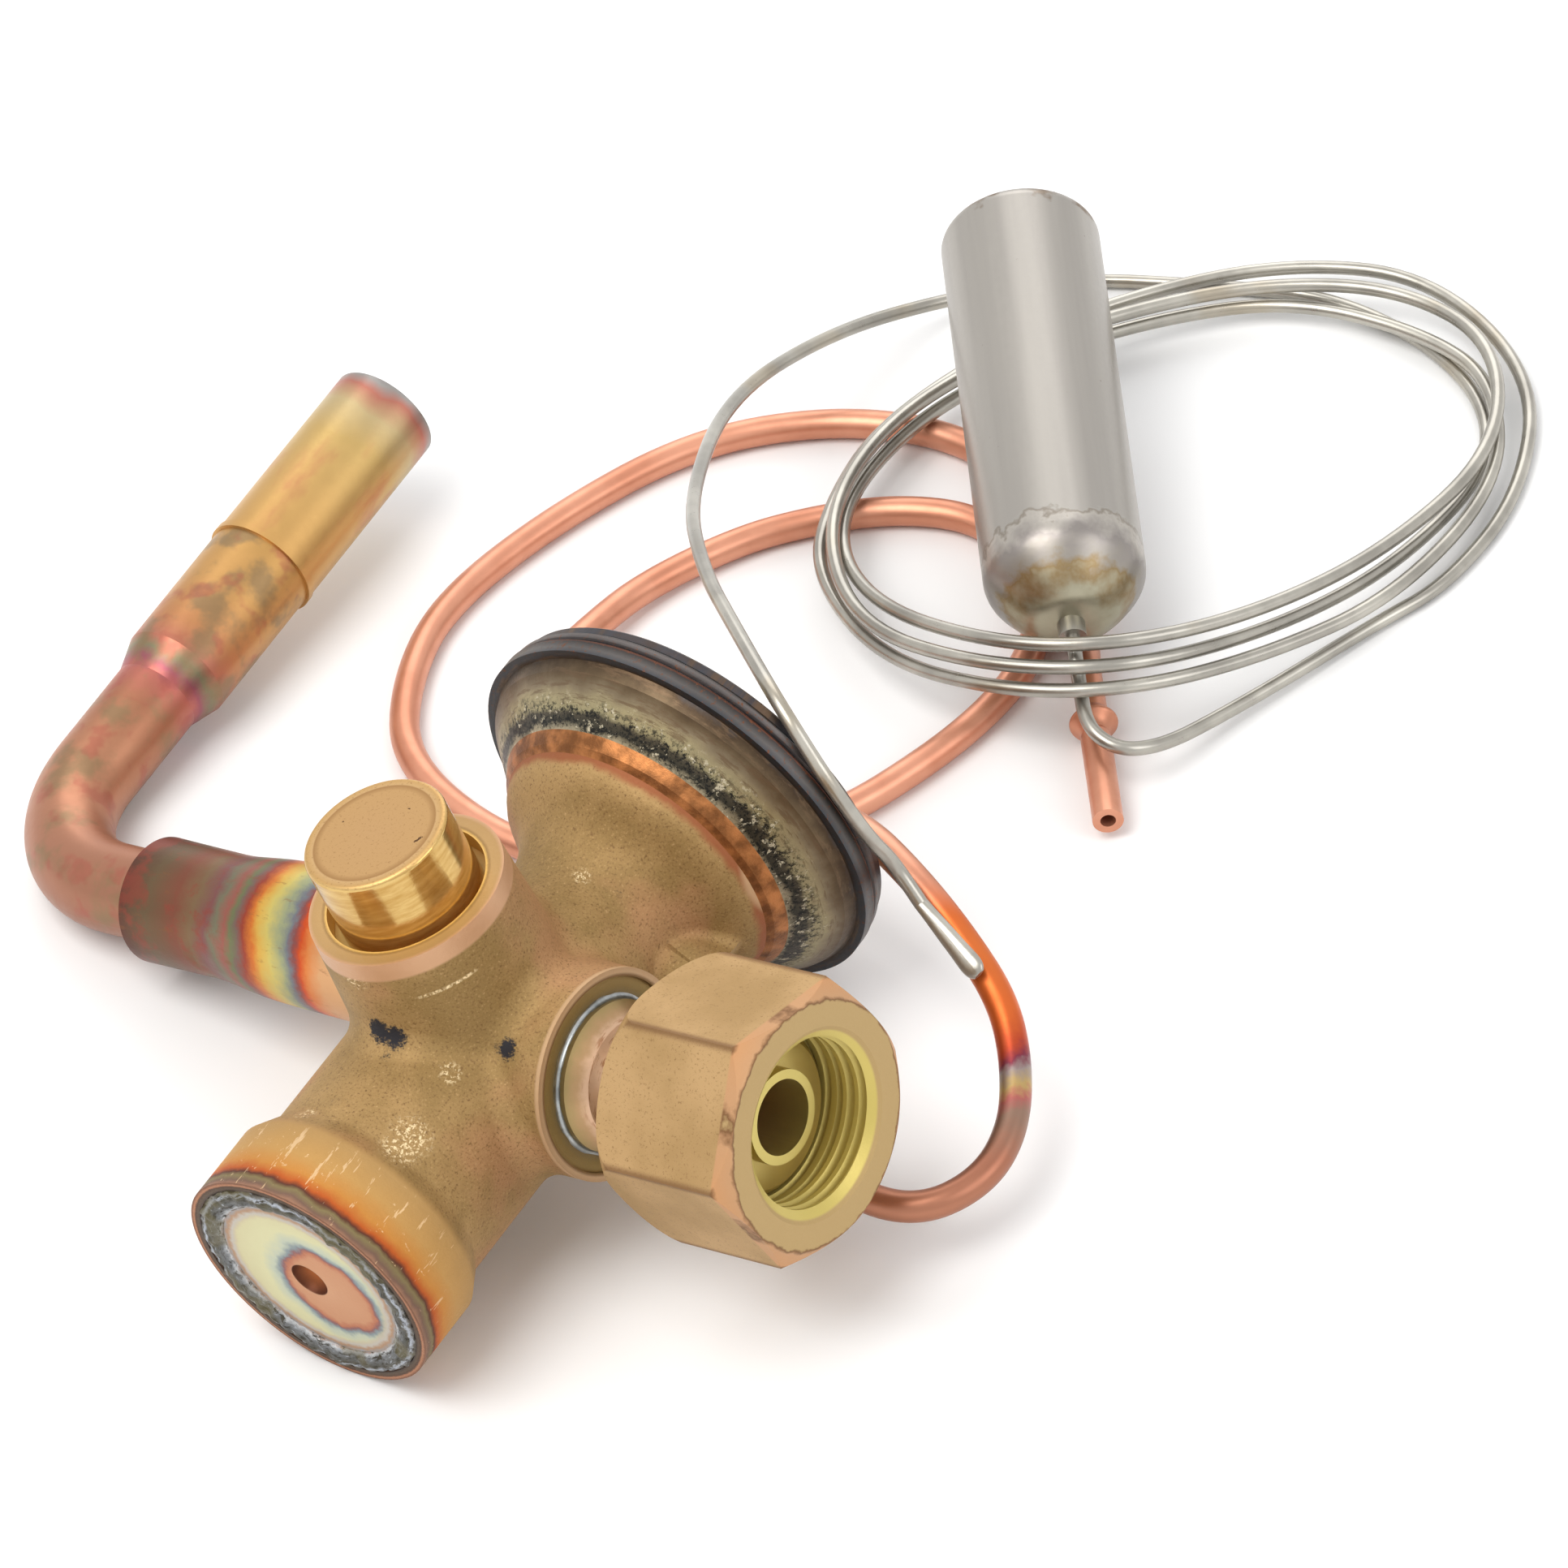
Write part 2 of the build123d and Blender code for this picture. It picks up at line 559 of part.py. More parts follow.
def outlet_socket():
    """Copper socket brazed in the outlet boss, drawn down to a neck round the elbow."""
    middle = (SOCKET_R + SOCKET_NECK_R) / 2
    middle_z = (SOCKET_TAPER_START + SOCKET_NECK_START) / 2 + 1
    side = Polyline(
        (SOCKET_BORE_R, 0, SOCKET_SEAT),
        (SOCKET_R, 0, SOCKET_SEAT),
        (SOCKET_R, 0, OUTLET_BOSS_REACH),
        (SOCKET_R - 0.15, 0, SOCKET_TAPER_START),
    )
    taper = Spline(
        (SOCKET_R - 0.15, 0, SOCKET_TAPER_START),
        (middle, 0, middle_z),
        (SOCKET_NECK_R, 0, SOCKET_NECK_START),
        tangents=[(-0.02, 0, 1), (0, 0, 1)],
    )
    rest = Polyline(
        (SOCKET_NECK_R, 0, SOCKET_NECK_START),
        (SOCKET_NECK_R + 0.1, 0, SOCKET_END),
        (ELBOW_R, 0, SOCKET_END),
        (ELBOW_R, 0, ELBOW_SEAT),
        (ELBOW_R, 0, SOCKET_NECK_START),
        (SOCKET_BORE_R, 0, SOCKET_TAPER_START),
        (SOCKET_BORE_R, 0, SOCKET_SEAT),
    )
    return TO_OUTLET * revolve(make_face(side + taper + rest), Axis.Z)


def outlet_elbow():
    """Bent copper tube that widens into a socket at its upper end."""
    start = Vector(-ELBOW_SEAT, 0, OUTLET_Z)
    corner = Vector(-ELBOW_CORNER, 0, OUTLET_Z)
    top = corner + Vector(*LEG_WAY) * SWAGE_START
    path = FilletPolyline(start, corner, top, radius=ELBOW_BEND_R)
    section = Plane(start, z_dir=(-1, 0, 0)) * (Circle(ELBOW_R) - Circle(ELBOW_BORE_R))
    bend = sweep(section, path=path)
    widened = SWAGE_START + SWAGE_LENGTH
    swage = turned(
        (ELBOW_BORE_R, SWAGE_START),
        (ELBOW_R, SWAGE_START),
        (SWAGE_R, widened),
        (SWAGE_R, SWAGE_END),
        (SWAGE_BORE_R, SWAGE_END),
        (SWAGE_BORE_R, widened),
    )
    return bend + TO_LEG * swage


def outlet_end_tube():
    """Open end tube with a spigot inside the elbow and a bead against its rim."""
    spigot_r = SWAGE_BORE_R - END_TUBE_SPIGOT_WALL
    bead_end = SWAGE_END + END_TUBE_BEAD_LENGTH
    return TO_LEG * turned(
        (spigot_r, SWAGE_END - END_TUBE_SPIGOT),
        (SWAGE_BORE_R, SWAGE_END - END_TUBE_SPIGOT),
        (SWAGE_BORE_R, SWAGE_END),
        (END_TUBE_R + END_TUBE_BEAD, SWAGE_END),
        (END_TUBE_R + END_TUBE_BEAD, bead_end),
        (END_TUBE_R, bead_end),
        (END_TUBE_R, SWAGE_END + END_TUBE_LENGTH),
        (END_TUBE_BORE_R, SWAGE_END + END_TUBE_LENGTH),
        (END_TUBE_BORE_R, bead_end + 1),
        (spigot_r, bead_end),
    )


def orifice_seat():
    """Seat insert with the metering hole."""
    return ring(ORIFICE_R, CHAMBER_R, WEB_Z, SEAT_TOP)


def valve_pin():
    """Cone that closes the orifice from below, with a flange and a guide for the spring."""
    shoulder = WEB_Z - PIN_CONE
    flange_top = WEB_Z - PIN_FLANGE_DROP
    return turned(
        (0, WEB_Z + PIN_TIP_REACH),
        (PIN_TIP_R, WEB_Z + PIN_TIP_REACH),
        (ORIFICE_R - 2 * RUNNING, WEB_Z),
        (PIN_BODY_R, shoulder),
        (PIN_BODY_R, flange_top),
        (PIN_FLANGE_R, flange_top),
        (PIN_FLANGE_R, PIN_FLANGE_BOTTOM),
        (PIN_GUIDE_R, PIN_FLANGE_BOTTOM),
        (PIN_GUIDE_R, PIN_FLANGE_BOTTOM - PIN_GUIDE_LENGTH),
        (0, PIN_FLANGE_BOTTOM - PIN_GUIDE_LENGTH),
    )


def push_rod():
    """Rod from the pressure pad down through the orifice onto the pin."""
    return turned(
        (0, WEB_Z + PIN_TIP_REACH),
        (ROD_TIP_R, WEB_Z + PIN_TIP_REACH),
        (ROD_TIP_R, ROD_STEP),
        (ROD_R, ROD_STEP + ROD_R - ROD_TIP_R),
        (ROD_R, ROD_TOP),
        (0, ROD_TOP),
    )


def rod_gland():
    """Seal ring round the push rod, between the outlet chamber and the head."""
    return ring(ROD_R + RUNNING, GLAND_RING_R, CHAMBER_TOP, GUIDE_Z)


def pressure_pad():
    """Plate under the diaphragm that stands on the push rod."""
    top = CUP_TOP - PAD_GAP
    return turned(
        (0, ROD_TOP),
        (PAD_HUB_R, ROD_TOP),
        (PAD_R, top - PAD_EDGE),
        (PAD_R, top),
        (0, top),
    )


def superheat_spring():
    """Coil spring between the carrier's floor and the pin's flange."""
    length = PIN_FLANGE_BOTTOM - SPRING_BOTTOM - 2 * SPRING_WIRE_R
    path = Pos(0, 0, SPRING_BOTTOM + SPRING_WIRE_R) * Helix(length / SPRING_COILS, length, SPRING_R)
    section = Plane(path @ 0, z_dir=path % 0) * Circle(SPRING_WIRE_R)
    wire = sweep(section, path=path, is_frenet=True)
    return wire & rod(BORE_R, SPRING_BOTTOM, PIN_FLANGE_BOTTOM)


def spring_carrier():
    """Sliding cup under the spring, with an arm whose cross slot takes the eccentric pin."""
    cup = turned(
        (0, CARRIER_BOTTOM),
        (CARRIER_R, CARRIER_BOTTOM),
        (CARRIER_R, CARRIER_BOTTOM + CARRIER_DEPTH),
        (CARRIER_R - CARRIER_WALL, CARRIER_BOTTOM + CARRIER_DEPTH),
        (CARRIER_R - CARRIER_WALL, SPRING_BOTTOM),
        (0, SPRING_BOTTOM),
    )
    slot_half = ECCENTRIC_R + CARRIER_SLOT_PLAY
    slot_run = ECCENTRIC_R + CARRIER_SLOT_RUN
    arm_half = CARRIER_ARM_WIDTH / 2
    arm_top = slot_half + CARRIER_ARM_RISE
    arm = block(
        -arm_half, arm_half, -CARRIER_R, -CARRIER_R + CARRIER_ARM_THICKNESS,
        CARRIER_BOTTOM + CARRIER_FLOOR, arm_top,
    )
    arm &= rod(CARRIER_R, CARRIER_BOTTOM, arm_top)
    slot = block(
        ECCENTRICITY - slot_run, ECCENTRICITY + slot_run, -BORE_R, 0, -slot_half, slot_half
    )
    return cup + (arm - slot)


def head_lower_cup():
    """Pressed lower half of the power head, from its seat on the flange out to the rim."""
    wall = CUP_WALL
    return turned(
        (CUP_HOLE_R, FLANGE_Z),
        (CUP_FOOT_R, FLANGE_Z),
        (CUP_FOOT_R + wall, FLANGE_Z + wall),
        (CUP_SHOULDER_R, CUP_SHOULDER_Z),
        (CUP_SHOULDER_R + 0.6, CUP_RIM_Z),
        (CUP_RIM_R, CUP_RIM_Z),
        (CUP_RIM_R, CUP_TOP - LIP_BEVEL),
        (CUP_RIM_R - LIP_BEVEL, CUP_TOP),
        (CUP_SHOULDER_R - wall, CUP_TOP),
        (CUP_SHOULDER_R - wall, CUP_RIM_Z),
        (CUP_SHOULDER_R - 1.3 * wall, CUP_SHOULDER_Z + 0.5),
        (CUP_FOOT_R, FLANGE_Z + 1.8 * wall),
        (CUP_FOOT_R - wall, FLANGE_Z + wall),
        (CUP_HOLE_R, FLANGE_Z + wall),
    )


def head_braze_ring():
    """Braze fillet between the flange's edge and the underside of the cup."""
    return turned(
        (FLANGE_R, FLANGE_Z - FLANGE_EDGE),
        (FLANGE_R + HEAD_BRAZE * 0.6, FLANGE_Z - FLANGE_EDGE * 0.3),
        (CUP_FOOT_R + HEAD_BRAZE, FLANGE_Z + HEAD_BRAZE),
        (CUP_FOOT_R, FLANGE_Z),
        (FLANGE_R, FLANGE_Z),
    )


def diaphragm():
    """Thin metal diaphragm clamped round its edge."""
    return rod(CUP_RIM_R - DIAPHRAGM_INSET, CUP_TOP, DIAPHRAGM_TOP)


def diaphragm_clamp():
    """Ring welded on top of the diaphragm's edge, with its own rounded lip."""
    inner_r = CLAMP_R - CLAMP_WIDTH
    return turned(
        (inner_r, DIAPHRAGM_TOP),
        (CLAMP_R - LIP_BEVEL, DIAPHRAGM_TOP),
        (CLAMP_R, DIAPHRAGM_TOP + LIP_BEVEL),
        (CLAMP_R, CLAMP_TOP - LIP_BEVEL),
        (CLAMP_R - LIP_BEVEL, CLAMP_TOP),
        (inner_r, CLAMP_TOP),
    )


def head_upper_cover():
    """Domed cover of the power head, welded round its rim."""
    shoulder_in = COVER_SHOULDER_R - COVER_WALL
    cover = turned(
        (shoulder_in, CLAMP_TOP),
        (COVER_R - LIP_BEVEL, CLAMP_TOP),
        (COVER_R, CLAMP_TOP + LIP_BEVEL),
        (COVER_R, COVER_SHOULDER_Z - LIP_BEVEL),
        (COVER_R - LIP_BEVEL, COVER_SHOULDER_Z),
        (COVER_SHOULDER_R + 1, COVER_SHOULDER_Z),
        (COVER_SHOULDER_R, COVER_SHOULDER_Z + COVER_WALL),
        ((COVER_SHOULDER_R + COVER_CROWN_R) / 2, COVER_TOP - 0.6),
        (COVER_CROWN_R, COVER_TOP),
        (0, COVER_TOP),
        (0, COVER_TOP - COVER_WALL),
        (COVER_CROWN_R, COVER_TOP - COVER_WALL),
        (shoulder_in - 0.4, COVER_SHOULDER_Z),
    )
    return cover - rod(SPIGOT_R, COVER_TOP - 2 * COVER_WALL, COVER_TOP + 1)


def charge_spigot():
    """Short filling tube in the middle of the cover, pinched flat at its end."""
    spigot = rod(SPIGOT_R, COVER_TOP - COVER_WALL, COVER_TOP + SPIGOT_LENGTH)
    pinch_start = COVER_TOP + SPIGOT_LENGTH * 0.6
    for side in (-1, 1):
        spigot -= block(
            *sorted((side * SPIGOT_R * 0.4, side * 2 * SPIGOT_R)), -2 * SPIGOT_R, 2 * SPIGOT_R,
            pinch_start, COVER_TOP + SPIGOT_LENGTH + 1,
        )
    return spigot


def rest_axes():
    """Height of the valve's crossing point over the bench, and the bench's upward normal.

    The head's rim, the collar's edge and the elbow touch the bench.
    """
    slope = asin((CUP_RIM_R - COLLAR_R) / hypot(CUP_RIM_R - COLLAR_R, CUP_RIM_Z + BASE_DROP))
    up_z = sin(slope)
    height = BASE_DROP * up_z + COLLAR_R * cos(slope)
    bend_x = ELBOW_CORNER - ELBOW_BEND_R
    bend_z = OUTLET_Z + ELBOW_BEND_R
    up_x = 0.2
    for _ in range(30):
        inward = ELBOW_BEND_R * hypot(up_x, up_z)
        up_x = (height + bend_z * up_z - inward - ELBOW_R) / bend_x
    return height, Vector(up_x, -sqrt(1 - up_x ** 2 - up_z ** 2), up_z)


def rest_pose():
    """Location that lays the valve on the bench, below the crossing of its axes."""
    height, up = rest_axes()
    away = Vector(*AWAY)
    away = (away - up * away.dot(up)).normalized()
    right = away.cross(up)
    x_dir = (right.X, away.X, up.X)
    z_dir = (right.Z, away.Z, up.Z)
    return Plane((0, 0, height), x_dir=x_dir, z_dir=z_dir).location


def corner_points(points):
    """Corners that stand outside a run of points, so that the rounded path passes through them."""
    points = [Vector(*point) for point in points]
    corners = list(points)
    for _ in range(6):
        inner = [
            point + (here * 2 - before - after) * 0.125
            for point, before, here, after in zip(points[1:], corners, corners[1:], corners[2:])
        ]
        corners = [points[0]] + inner + [points[-1]]
    return corners


def rounded_path(corners):
    """Straight runs joined by arcs as large as the runs allow."""
    runs = [after - before for before, after in zip(corners, corners[1:])]
    radii = []
    for before, after in zip(runs, runs[1:]):
        half_turn = radians(before.get_angle(after)) / 2
        radii.append(0.45 * min(before.length, after.length) / tan(half_turn))
    return FilletPolyline(*corners, radius=radii), radii


def swept_tube(name, start, way_out, points, way_in, end, radius):
    """Plain round tube from a start to an end that it leaves and enters straight, along a route."""
    start, end = Vector(*start), Vector(*end)
    lead = start + Vector(*way_out).normalized() * LEAD
    tail = end - Vector(*way_in).normalized() * LEAD
    corners = [start] + corner_points([lead] + points + [tail]) + [end]
    path, radii = rounded_path(corners)
    section = Plane(corners[0], z_dir=corners[1] - corners[0]) * Circle(radius)
    tube = sweep(section, path=path)
    shortest = min(radii) / (2 * radius)
    expected = path.length * pi * radius ** 2
    print(name, "length", round(path.length, 1), "mm, tightest bend", round(shortest, 1), "diameters")
    print(name, "bend radii", [round(r, 1) for r in radii])
    print(name, "volume over section times length", round(tube.volume / expected, 4))
    return tube


def bulb_place(along):
    """Location on the bulb's axis, at a distance from its far end."""
    way = Vector(*BULB_WAY).normalized()
    return Plane(Vector(*BULB_FAR) + way * along, z_dir=way).location


def sensing_bulb():
    """Closed cylinder with a flat far end and a drawn-in near end, charged and sealed."""
    dome_end = BULB_LENGTH + BULB_DOME
    side = Polyline(
        (0, 0, dome_end), (0, 0, 0), (BULB_R - BULB_EDGE, 0, 0)
    )
    far_edge = bulged((BULB_R - BULB_EDGE, 0), (BULB_R, BULB_EDGE), -BULB_EDGE * 0.293)
    wall = Line((BULB_R, 0, BULB_EDGE), (BULB_R, 0, BULB_LENGTH))
    shoulder = Spline(
        (BULB_R, 0, BULB_LENGTH),
        (BULB_R - BULB_SHOULDER_INSET, 0, BULB_LENGTH + BULB_SHOULDER * 0.75),
        (BULB_CROWN_R, 0, dome_end - BULB_CROWN_DROP),
        (NIPPLE_R, 0, dome_end),
        tangents=[(0, 0, 1), (-1, 0, 0.15)],
    )
    lid = Line((NIPPLE_R, 0, dome_end), (0, 0, dome_end))
    return bulb_place(0) * revolve(make_face(side + far_edge + wall + shoulder + lid), Axis.Z)


def bulb_nipple():
    """Sleeve on the bulb that the capillary tube comes out of."""
    return bulb_place(BULB_LENGTH + BULB_DOME) * rod(NIPPLE_R, 0, NIPPLE_LENGTH)


def equaliser_end():
    """Straight open end of the equaliser tube with a rolled bead."""
    bead_start = EQUALISER_BEAD_AT - EQUALISER_BEAD_LENGTH / 2
    bead_end = EQUALISER_BEAD_AT + EQUALISER_BEAD_LENGTH / 2
    side = Polyline(
        (EQUALISER_NECK_R, 0, bead_end),
        (EQUALISER_R, 0, bead_end + EQUALISER_NECK_LENGTH),
        (EQUALISER_R, 0, EQUALISER_END_LENGTH),
        (EQUALISER_BORE_R, 0, EQUALISER_END_LENGTH),
        (EQUALISER_BORE_R, 0, 1),
        (0, 0, 1),
        (0, 0, 0),
        (EQUALISER_R, 0, 0),
        (EQUALISER_R, 0, bead_start),
    )
    bead = Spline(
        (EQUALISER_R, 0, bead_start),
        (EQUALISER_BEAD_R, 0, EQUALISER_BEAD_AT),
        (EQUALISER_NECK_R, 0, bead_end),
        tangents=[(0.3, 0, 1), (-0.3, 0, 1)],
    )
    place = Plane(EQUALISER_END, z_dir=EQUALISER_END_WAY).location
    return place * revolve(make_face(side + bead), Axis.Z)


def capillary_tongue():
    """Flattened end of the capillary tube, brazed along the side of the equaliser tube."""
    start = Vector(*TONGUE_START)
    way = Vector(*TONGUE_END) - start
    flat = way.cross(Vector(*TONGUE_PRESS)).normalized()
    way_in = Vector(*TONGUE_WAY_IN)
    sections = [Plane(start, z_dir=way_in) * Circle(CAPILLARY_R)]
    for share, turn, half_width, half_thickness in TONGUE_SHAPE:
        facing = way_in * (1 - turn) + way.normalized() * turn
        plane = Plane(start + way * share, x_dir=flat, z_dir=facing)
        sections.append(plane * Ellipse(half_width, half_thickness))
    return loft(sections)


def fixed_pieces():
    """Pieces of the valve itself, in the valve's own axes."""
    outlet_braze = TO_OUTLET * braze_fillet(SOCKET_R, OUTLET_BOSS_REACH, BRAZE)
    inlet_braze = TO_INLET * braze_fillet(STUB_R, INLET_BOSS_REACH - INLET_RECESS, BRAZE)
    equaliser_braze = TO_EQUALISER * braze_fillet(EQUALISER_R, EQUALISER_BOSS_REACH, BRAZE)
    return {
        "valve_body": valve_body(),
        "bottom_plug": bottom_plug(),
        "bottom_weld_ring": bottom_weld_ring(),
        "inlet_stub": inlet_stub(),
        "inlet_braze_ring": inlet_braze,
        "inlet_strainer": inlet_strainer(),
        "inlet_nut": inlet_nut(),
        "adjusting_spindle": adjusting_spindle(),
        "spindle_seal_ring": spindle_seal_ring(),
        "spindle_gland_nut": spindle_gland_nut(),
        "spindle_cap": spindle_cap(),
        "outlet_socket": outlet_socket(),
        "outlet_braze_ring": outlet_braze,
        "outlet_elbow": outlet_elbow(),
        "outlet_end_tube": outlet_end_tube(),
        "orifice_seat": orifice_seat(),
        "valve_pin": valve_pin(),
        "push_rod": push_rod(),
        "rod_gland": rod_gland(),
        "pressure_pad": pressure_pad(),
        "superheat_spring": superheat_spring(),
        "spring_carrier": spring_carrier(),
        "head_lower_cup": head_lower_cup(),
        "head_braze_ring": head_braze_ring(),
        "diaphragm": diaphragm(),
        "diaphragm_clamp": diaphragm_clamp(),
        "head_upper_cover": head_upper_cover(),
        "charge_spigot": charge_spigot(),
        "equaliser_braze": equaliser_braze,
    }


def free_pieces(pose):
    """Tubes that leave the valve, and what is on them, on the bench."""
    boss_face = pose * TO_EQUALISER * Pos(0, 0, EQUALISER_BOSS_REACH)
    nipple_end = bulb_place(BULB_LENGTH + BULB_DOME + NIPPLE_LENGTH)
    return {
        "equaliser_tube": swept_tube(
            "equaliser_tube", boss_face.position, Plane(boss_face).z_dir, EQUALISER_ROUTE,
            EQUALISER_END_WAY, EQUALISER_END, EQUALISER_R,
        ),
        "equaliser_end": equaliser_end(),
        "capillary_tube": swept_tube(
            "capillary_tube", nipple_end.position, BULB_WAY, CAPILLARY_ROUTE,
            TONGUE_WAY_IN, TONGUE_START, CAPILLARY_R,
        ),
        "capillary_tongue": capillary_tongue(),
        "sensing_bulb": sensing_bulb(),
        "bulb_nipple": bulb_nipple(),
    }


def main():
    """Lay every piece on the bench, with the middle of the valve's own box over the origin."""
    pose = rest_pose()
    valve = {name: pose * solid for name, solid in fixed_pieces().items()}
    boxes = [solid.bounding_box() for solid in valve.values()]
    left = min(box.min.X for box in boxes)
    right = max(box.max.X for box in boxes)
    near = min(box.min.Y for box in boxes)
    far = max(box.max.Y for box in boxes)
    bottom = min(box.min.Z for box in boxes)
    centre = Pos(-(left + right) / 2, -(near + far) / 2, -bottom)
    pieces = {**valve, **free_pieces(pose)}
    os.makedirs("parts", exist_ok=True)
    for name, solid in pieces.items():
        export_step(centre * solid, os.path.join("parts", name + ".step"))
    crossing = (centre * pose).position
    print("crossing of the axes", [round(value, 3) for value in crossing])


main()
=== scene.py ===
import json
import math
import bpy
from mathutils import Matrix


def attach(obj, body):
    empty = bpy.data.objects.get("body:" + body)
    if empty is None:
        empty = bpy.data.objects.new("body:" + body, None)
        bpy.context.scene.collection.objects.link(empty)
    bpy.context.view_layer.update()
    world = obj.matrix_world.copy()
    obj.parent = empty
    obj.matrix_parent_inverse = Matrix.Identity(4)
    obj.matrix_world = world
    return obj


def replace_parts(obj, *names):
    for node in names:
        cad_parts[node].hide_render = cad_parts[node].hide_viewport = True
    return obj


bl_info = {
    "name": "Expansion Valve",
    "version": (1, 0, 0),
    "blender": (4, 5, 0),
    "location": "View3D > Sidebar > Valve",
    "description": "Dresses an expansion valve with its finishes, tubes, thread and welds",
    "category": "Object",
}

import bmesh
import bpy
from mathutils import Matrix, Vector, noise

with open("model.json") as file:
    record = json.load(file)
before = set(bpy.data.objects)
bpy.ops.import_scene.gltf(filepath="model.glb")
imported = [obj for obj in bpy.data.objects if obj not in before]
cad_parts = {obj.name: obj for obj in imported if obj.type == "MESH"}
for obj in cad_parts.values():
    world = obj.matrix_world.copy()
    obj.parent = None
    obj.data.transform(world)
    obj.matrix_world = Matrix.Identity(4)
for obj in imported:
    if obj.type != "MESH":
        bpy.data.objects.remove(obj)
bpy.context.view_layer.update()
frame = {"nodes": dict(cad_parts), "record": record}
JOINTS = {joint["name"]: joint for joint in frame["record"]["behaviour"]["joints"]}

# The valve's own axes in the frame: X out of the inlet, Y away from the cap, Z into the head
MM = 0.001
PIVOT_REACH = 34.0
TO_INLET = Vector(JOINTS["nut_turns"]["axis"])
TO_CAP = Vector(JOINTS["cap_turns"]["axis"])
TO_HEAD = Vector(JOINTS["stem_slides"]["axis"])
CROSSING = Vector(JOINTS["nut_turns"]["pos_m"]) - TO_INLET * PIVOT_REACH * MM
TURN = Matrix((TO_INLET, -TO_CAP, TO_HEAD)).transposed()
VALVE = Matrix.Translation(CROSSING) @ TURN.to_4x4() @ Matrix.Scale(MM, 4)

# Sizes in mm, in the valve's own axes
OUTLET_Z = 8.0
ELBOW_CORNER = 76.15
ELBOW_LEAN = 1.25
EQUALISER_ANGLE = 40.0
EQUALISER_Z = 19.0
EQUALISER_REACH = 14.0
BASE_DROP = 33.9
INLET_FACE = 16.4
CAP_FACE = 23.4
CAP_TOP = 31.65
NUT_FACE = 44.0
THREAD_CREST = 8.8
THREAD_START = 36.0
THREAD_END = 44.6
WELD_IN = 10.6
WELD_OUT = 13.3
WELD_ROOT = -BASE_DROP + 1.0
SPRING_R = 4.6
SPRING_HEIGHT = 19.8
SPRING_WIRE_R = 0.55
SPRING_START = -23.35

# Braze fillets: radius of the tube, where the fillet starts along its axis, and its size
INLET_FILLET = (8.0, 16.0, 0.5)
OUTLET_FILLET = (7.9, 17.4, 0.9)
EQUALISER_FILLET = (1.7, 13.95, 0.9)

# Marks on the body, in mm in the valve's own axes: places and how far they reach
BODY_SOOT = [
    ((0.4, -14.3, -11.3), 1.3), ((2.2, -13.8, -11.4), 1.2), ((11.5, -9.2, -6.4), 1.0),
    ((10.0, -23.4, 4.1), 0.4), ((7.5, -6.5, 17.9), 0.05), ((1.8, -12.8, -13.2), 0.2),
]
BODY_FLAKES = [
    ((8.5, -9.4, -19.9), 3.0), ((8.4, -9.5, -22.0), 2.6), ((0.0, -21.3, -10.9), 2.0),
    ((-2.0, -12.9, -22.7), 1.6), ((4.1, -9.0, 17.0), 1.3), ((7.9, -10.0, -11.5), 1.6),
]
BODY_PIP = (0.4, -12.7, -20.4)
BODY_ARC = (8.3, -18.4, -6.8)
COPPER_ZONE = (2.2, 1.2, 0)
SOCKET_DENT = (-43.0, -0.3, 1.2)

# Tubes on the bench, in mm, from the point below the crossing of the valve's axes
BENCH_LEVEL = 0.07
BENCH = Matrix.Translation((CROSSING.x, CROSSING.y, BENCH_LEVEL * MM)) @ Matrix.Scale(MM, 4)
LEAD = 3.0
BULB_FAR = (69.5, 115.85, 20.9)
BULB_WAY = (-0.037, -0.987, -0.155)
BULB_REACH = 59.4
EQUALISER_R = 1.7
EQUALISER_END = (68.4, 59.4, 2.8)
EQUALISER_END_WAY = (-0.03, -1.0, 0.0)
EQUALISER_ROUTE = [
    (29.2, -3.5, 9.8), (31.1, -11.4, 8.6), (34.9, -18.6, 8.1), (41.1, -21.9, 8.0),
    (47.5, -19.6, 8.4), (51.5, -14.1, 9.6), (53.0, -6.9, 11.6),
    (52.5, 0.1, 14.2), (49.6, 7.4, 17.0), (45.8, 14.4, 19.6), (41.1, 22.6, 20.2),
    (34.3, 31.4, 17.5), (24.5, 40.5, 12.7), (14.5, 51.3, 7.8), (9.5, 61.4, 5.7),
    (9.5, 72.2, 4.2), (15.1, 80.8, 3.0), (22.3, 87.7, 2.2), (32.5, 93.0, 1.8),
    (41.4, 94.8, 1.75), (50.6, 94.5, 1.75), (59.0, 90.9, 1.75), (63.9, 83.5, 1.75),
    (65.0, 74.9, 1.75), (62.0, 65.5, 1.75), (56.4, 58.1, 1.75), (48.9, 51.8, 1.75),
    (38.9, 45.9, 1.75), (26.0, 42.4, 1.75), (12.8, 43.5, 1.75), (1.0, 52.4, 1.75),
    (-6.2, 65.6, 1.75), (-5.5, 78.5, 1.75), (-0.0, 90.2, 1.75), (12.4, 101.5, 1.75),
    (29.0, 110.5, 1.75), (45.0, 111.4, 1.75), (58.3, 105.6, 1.75), (66.3, 94.3, 1.75),
    (69.3, 80.4, 1.75), (69.0, 71.1, 1.75), (68.8, 65.9, 1.85),
]
CAPILLARY_R = 0.8
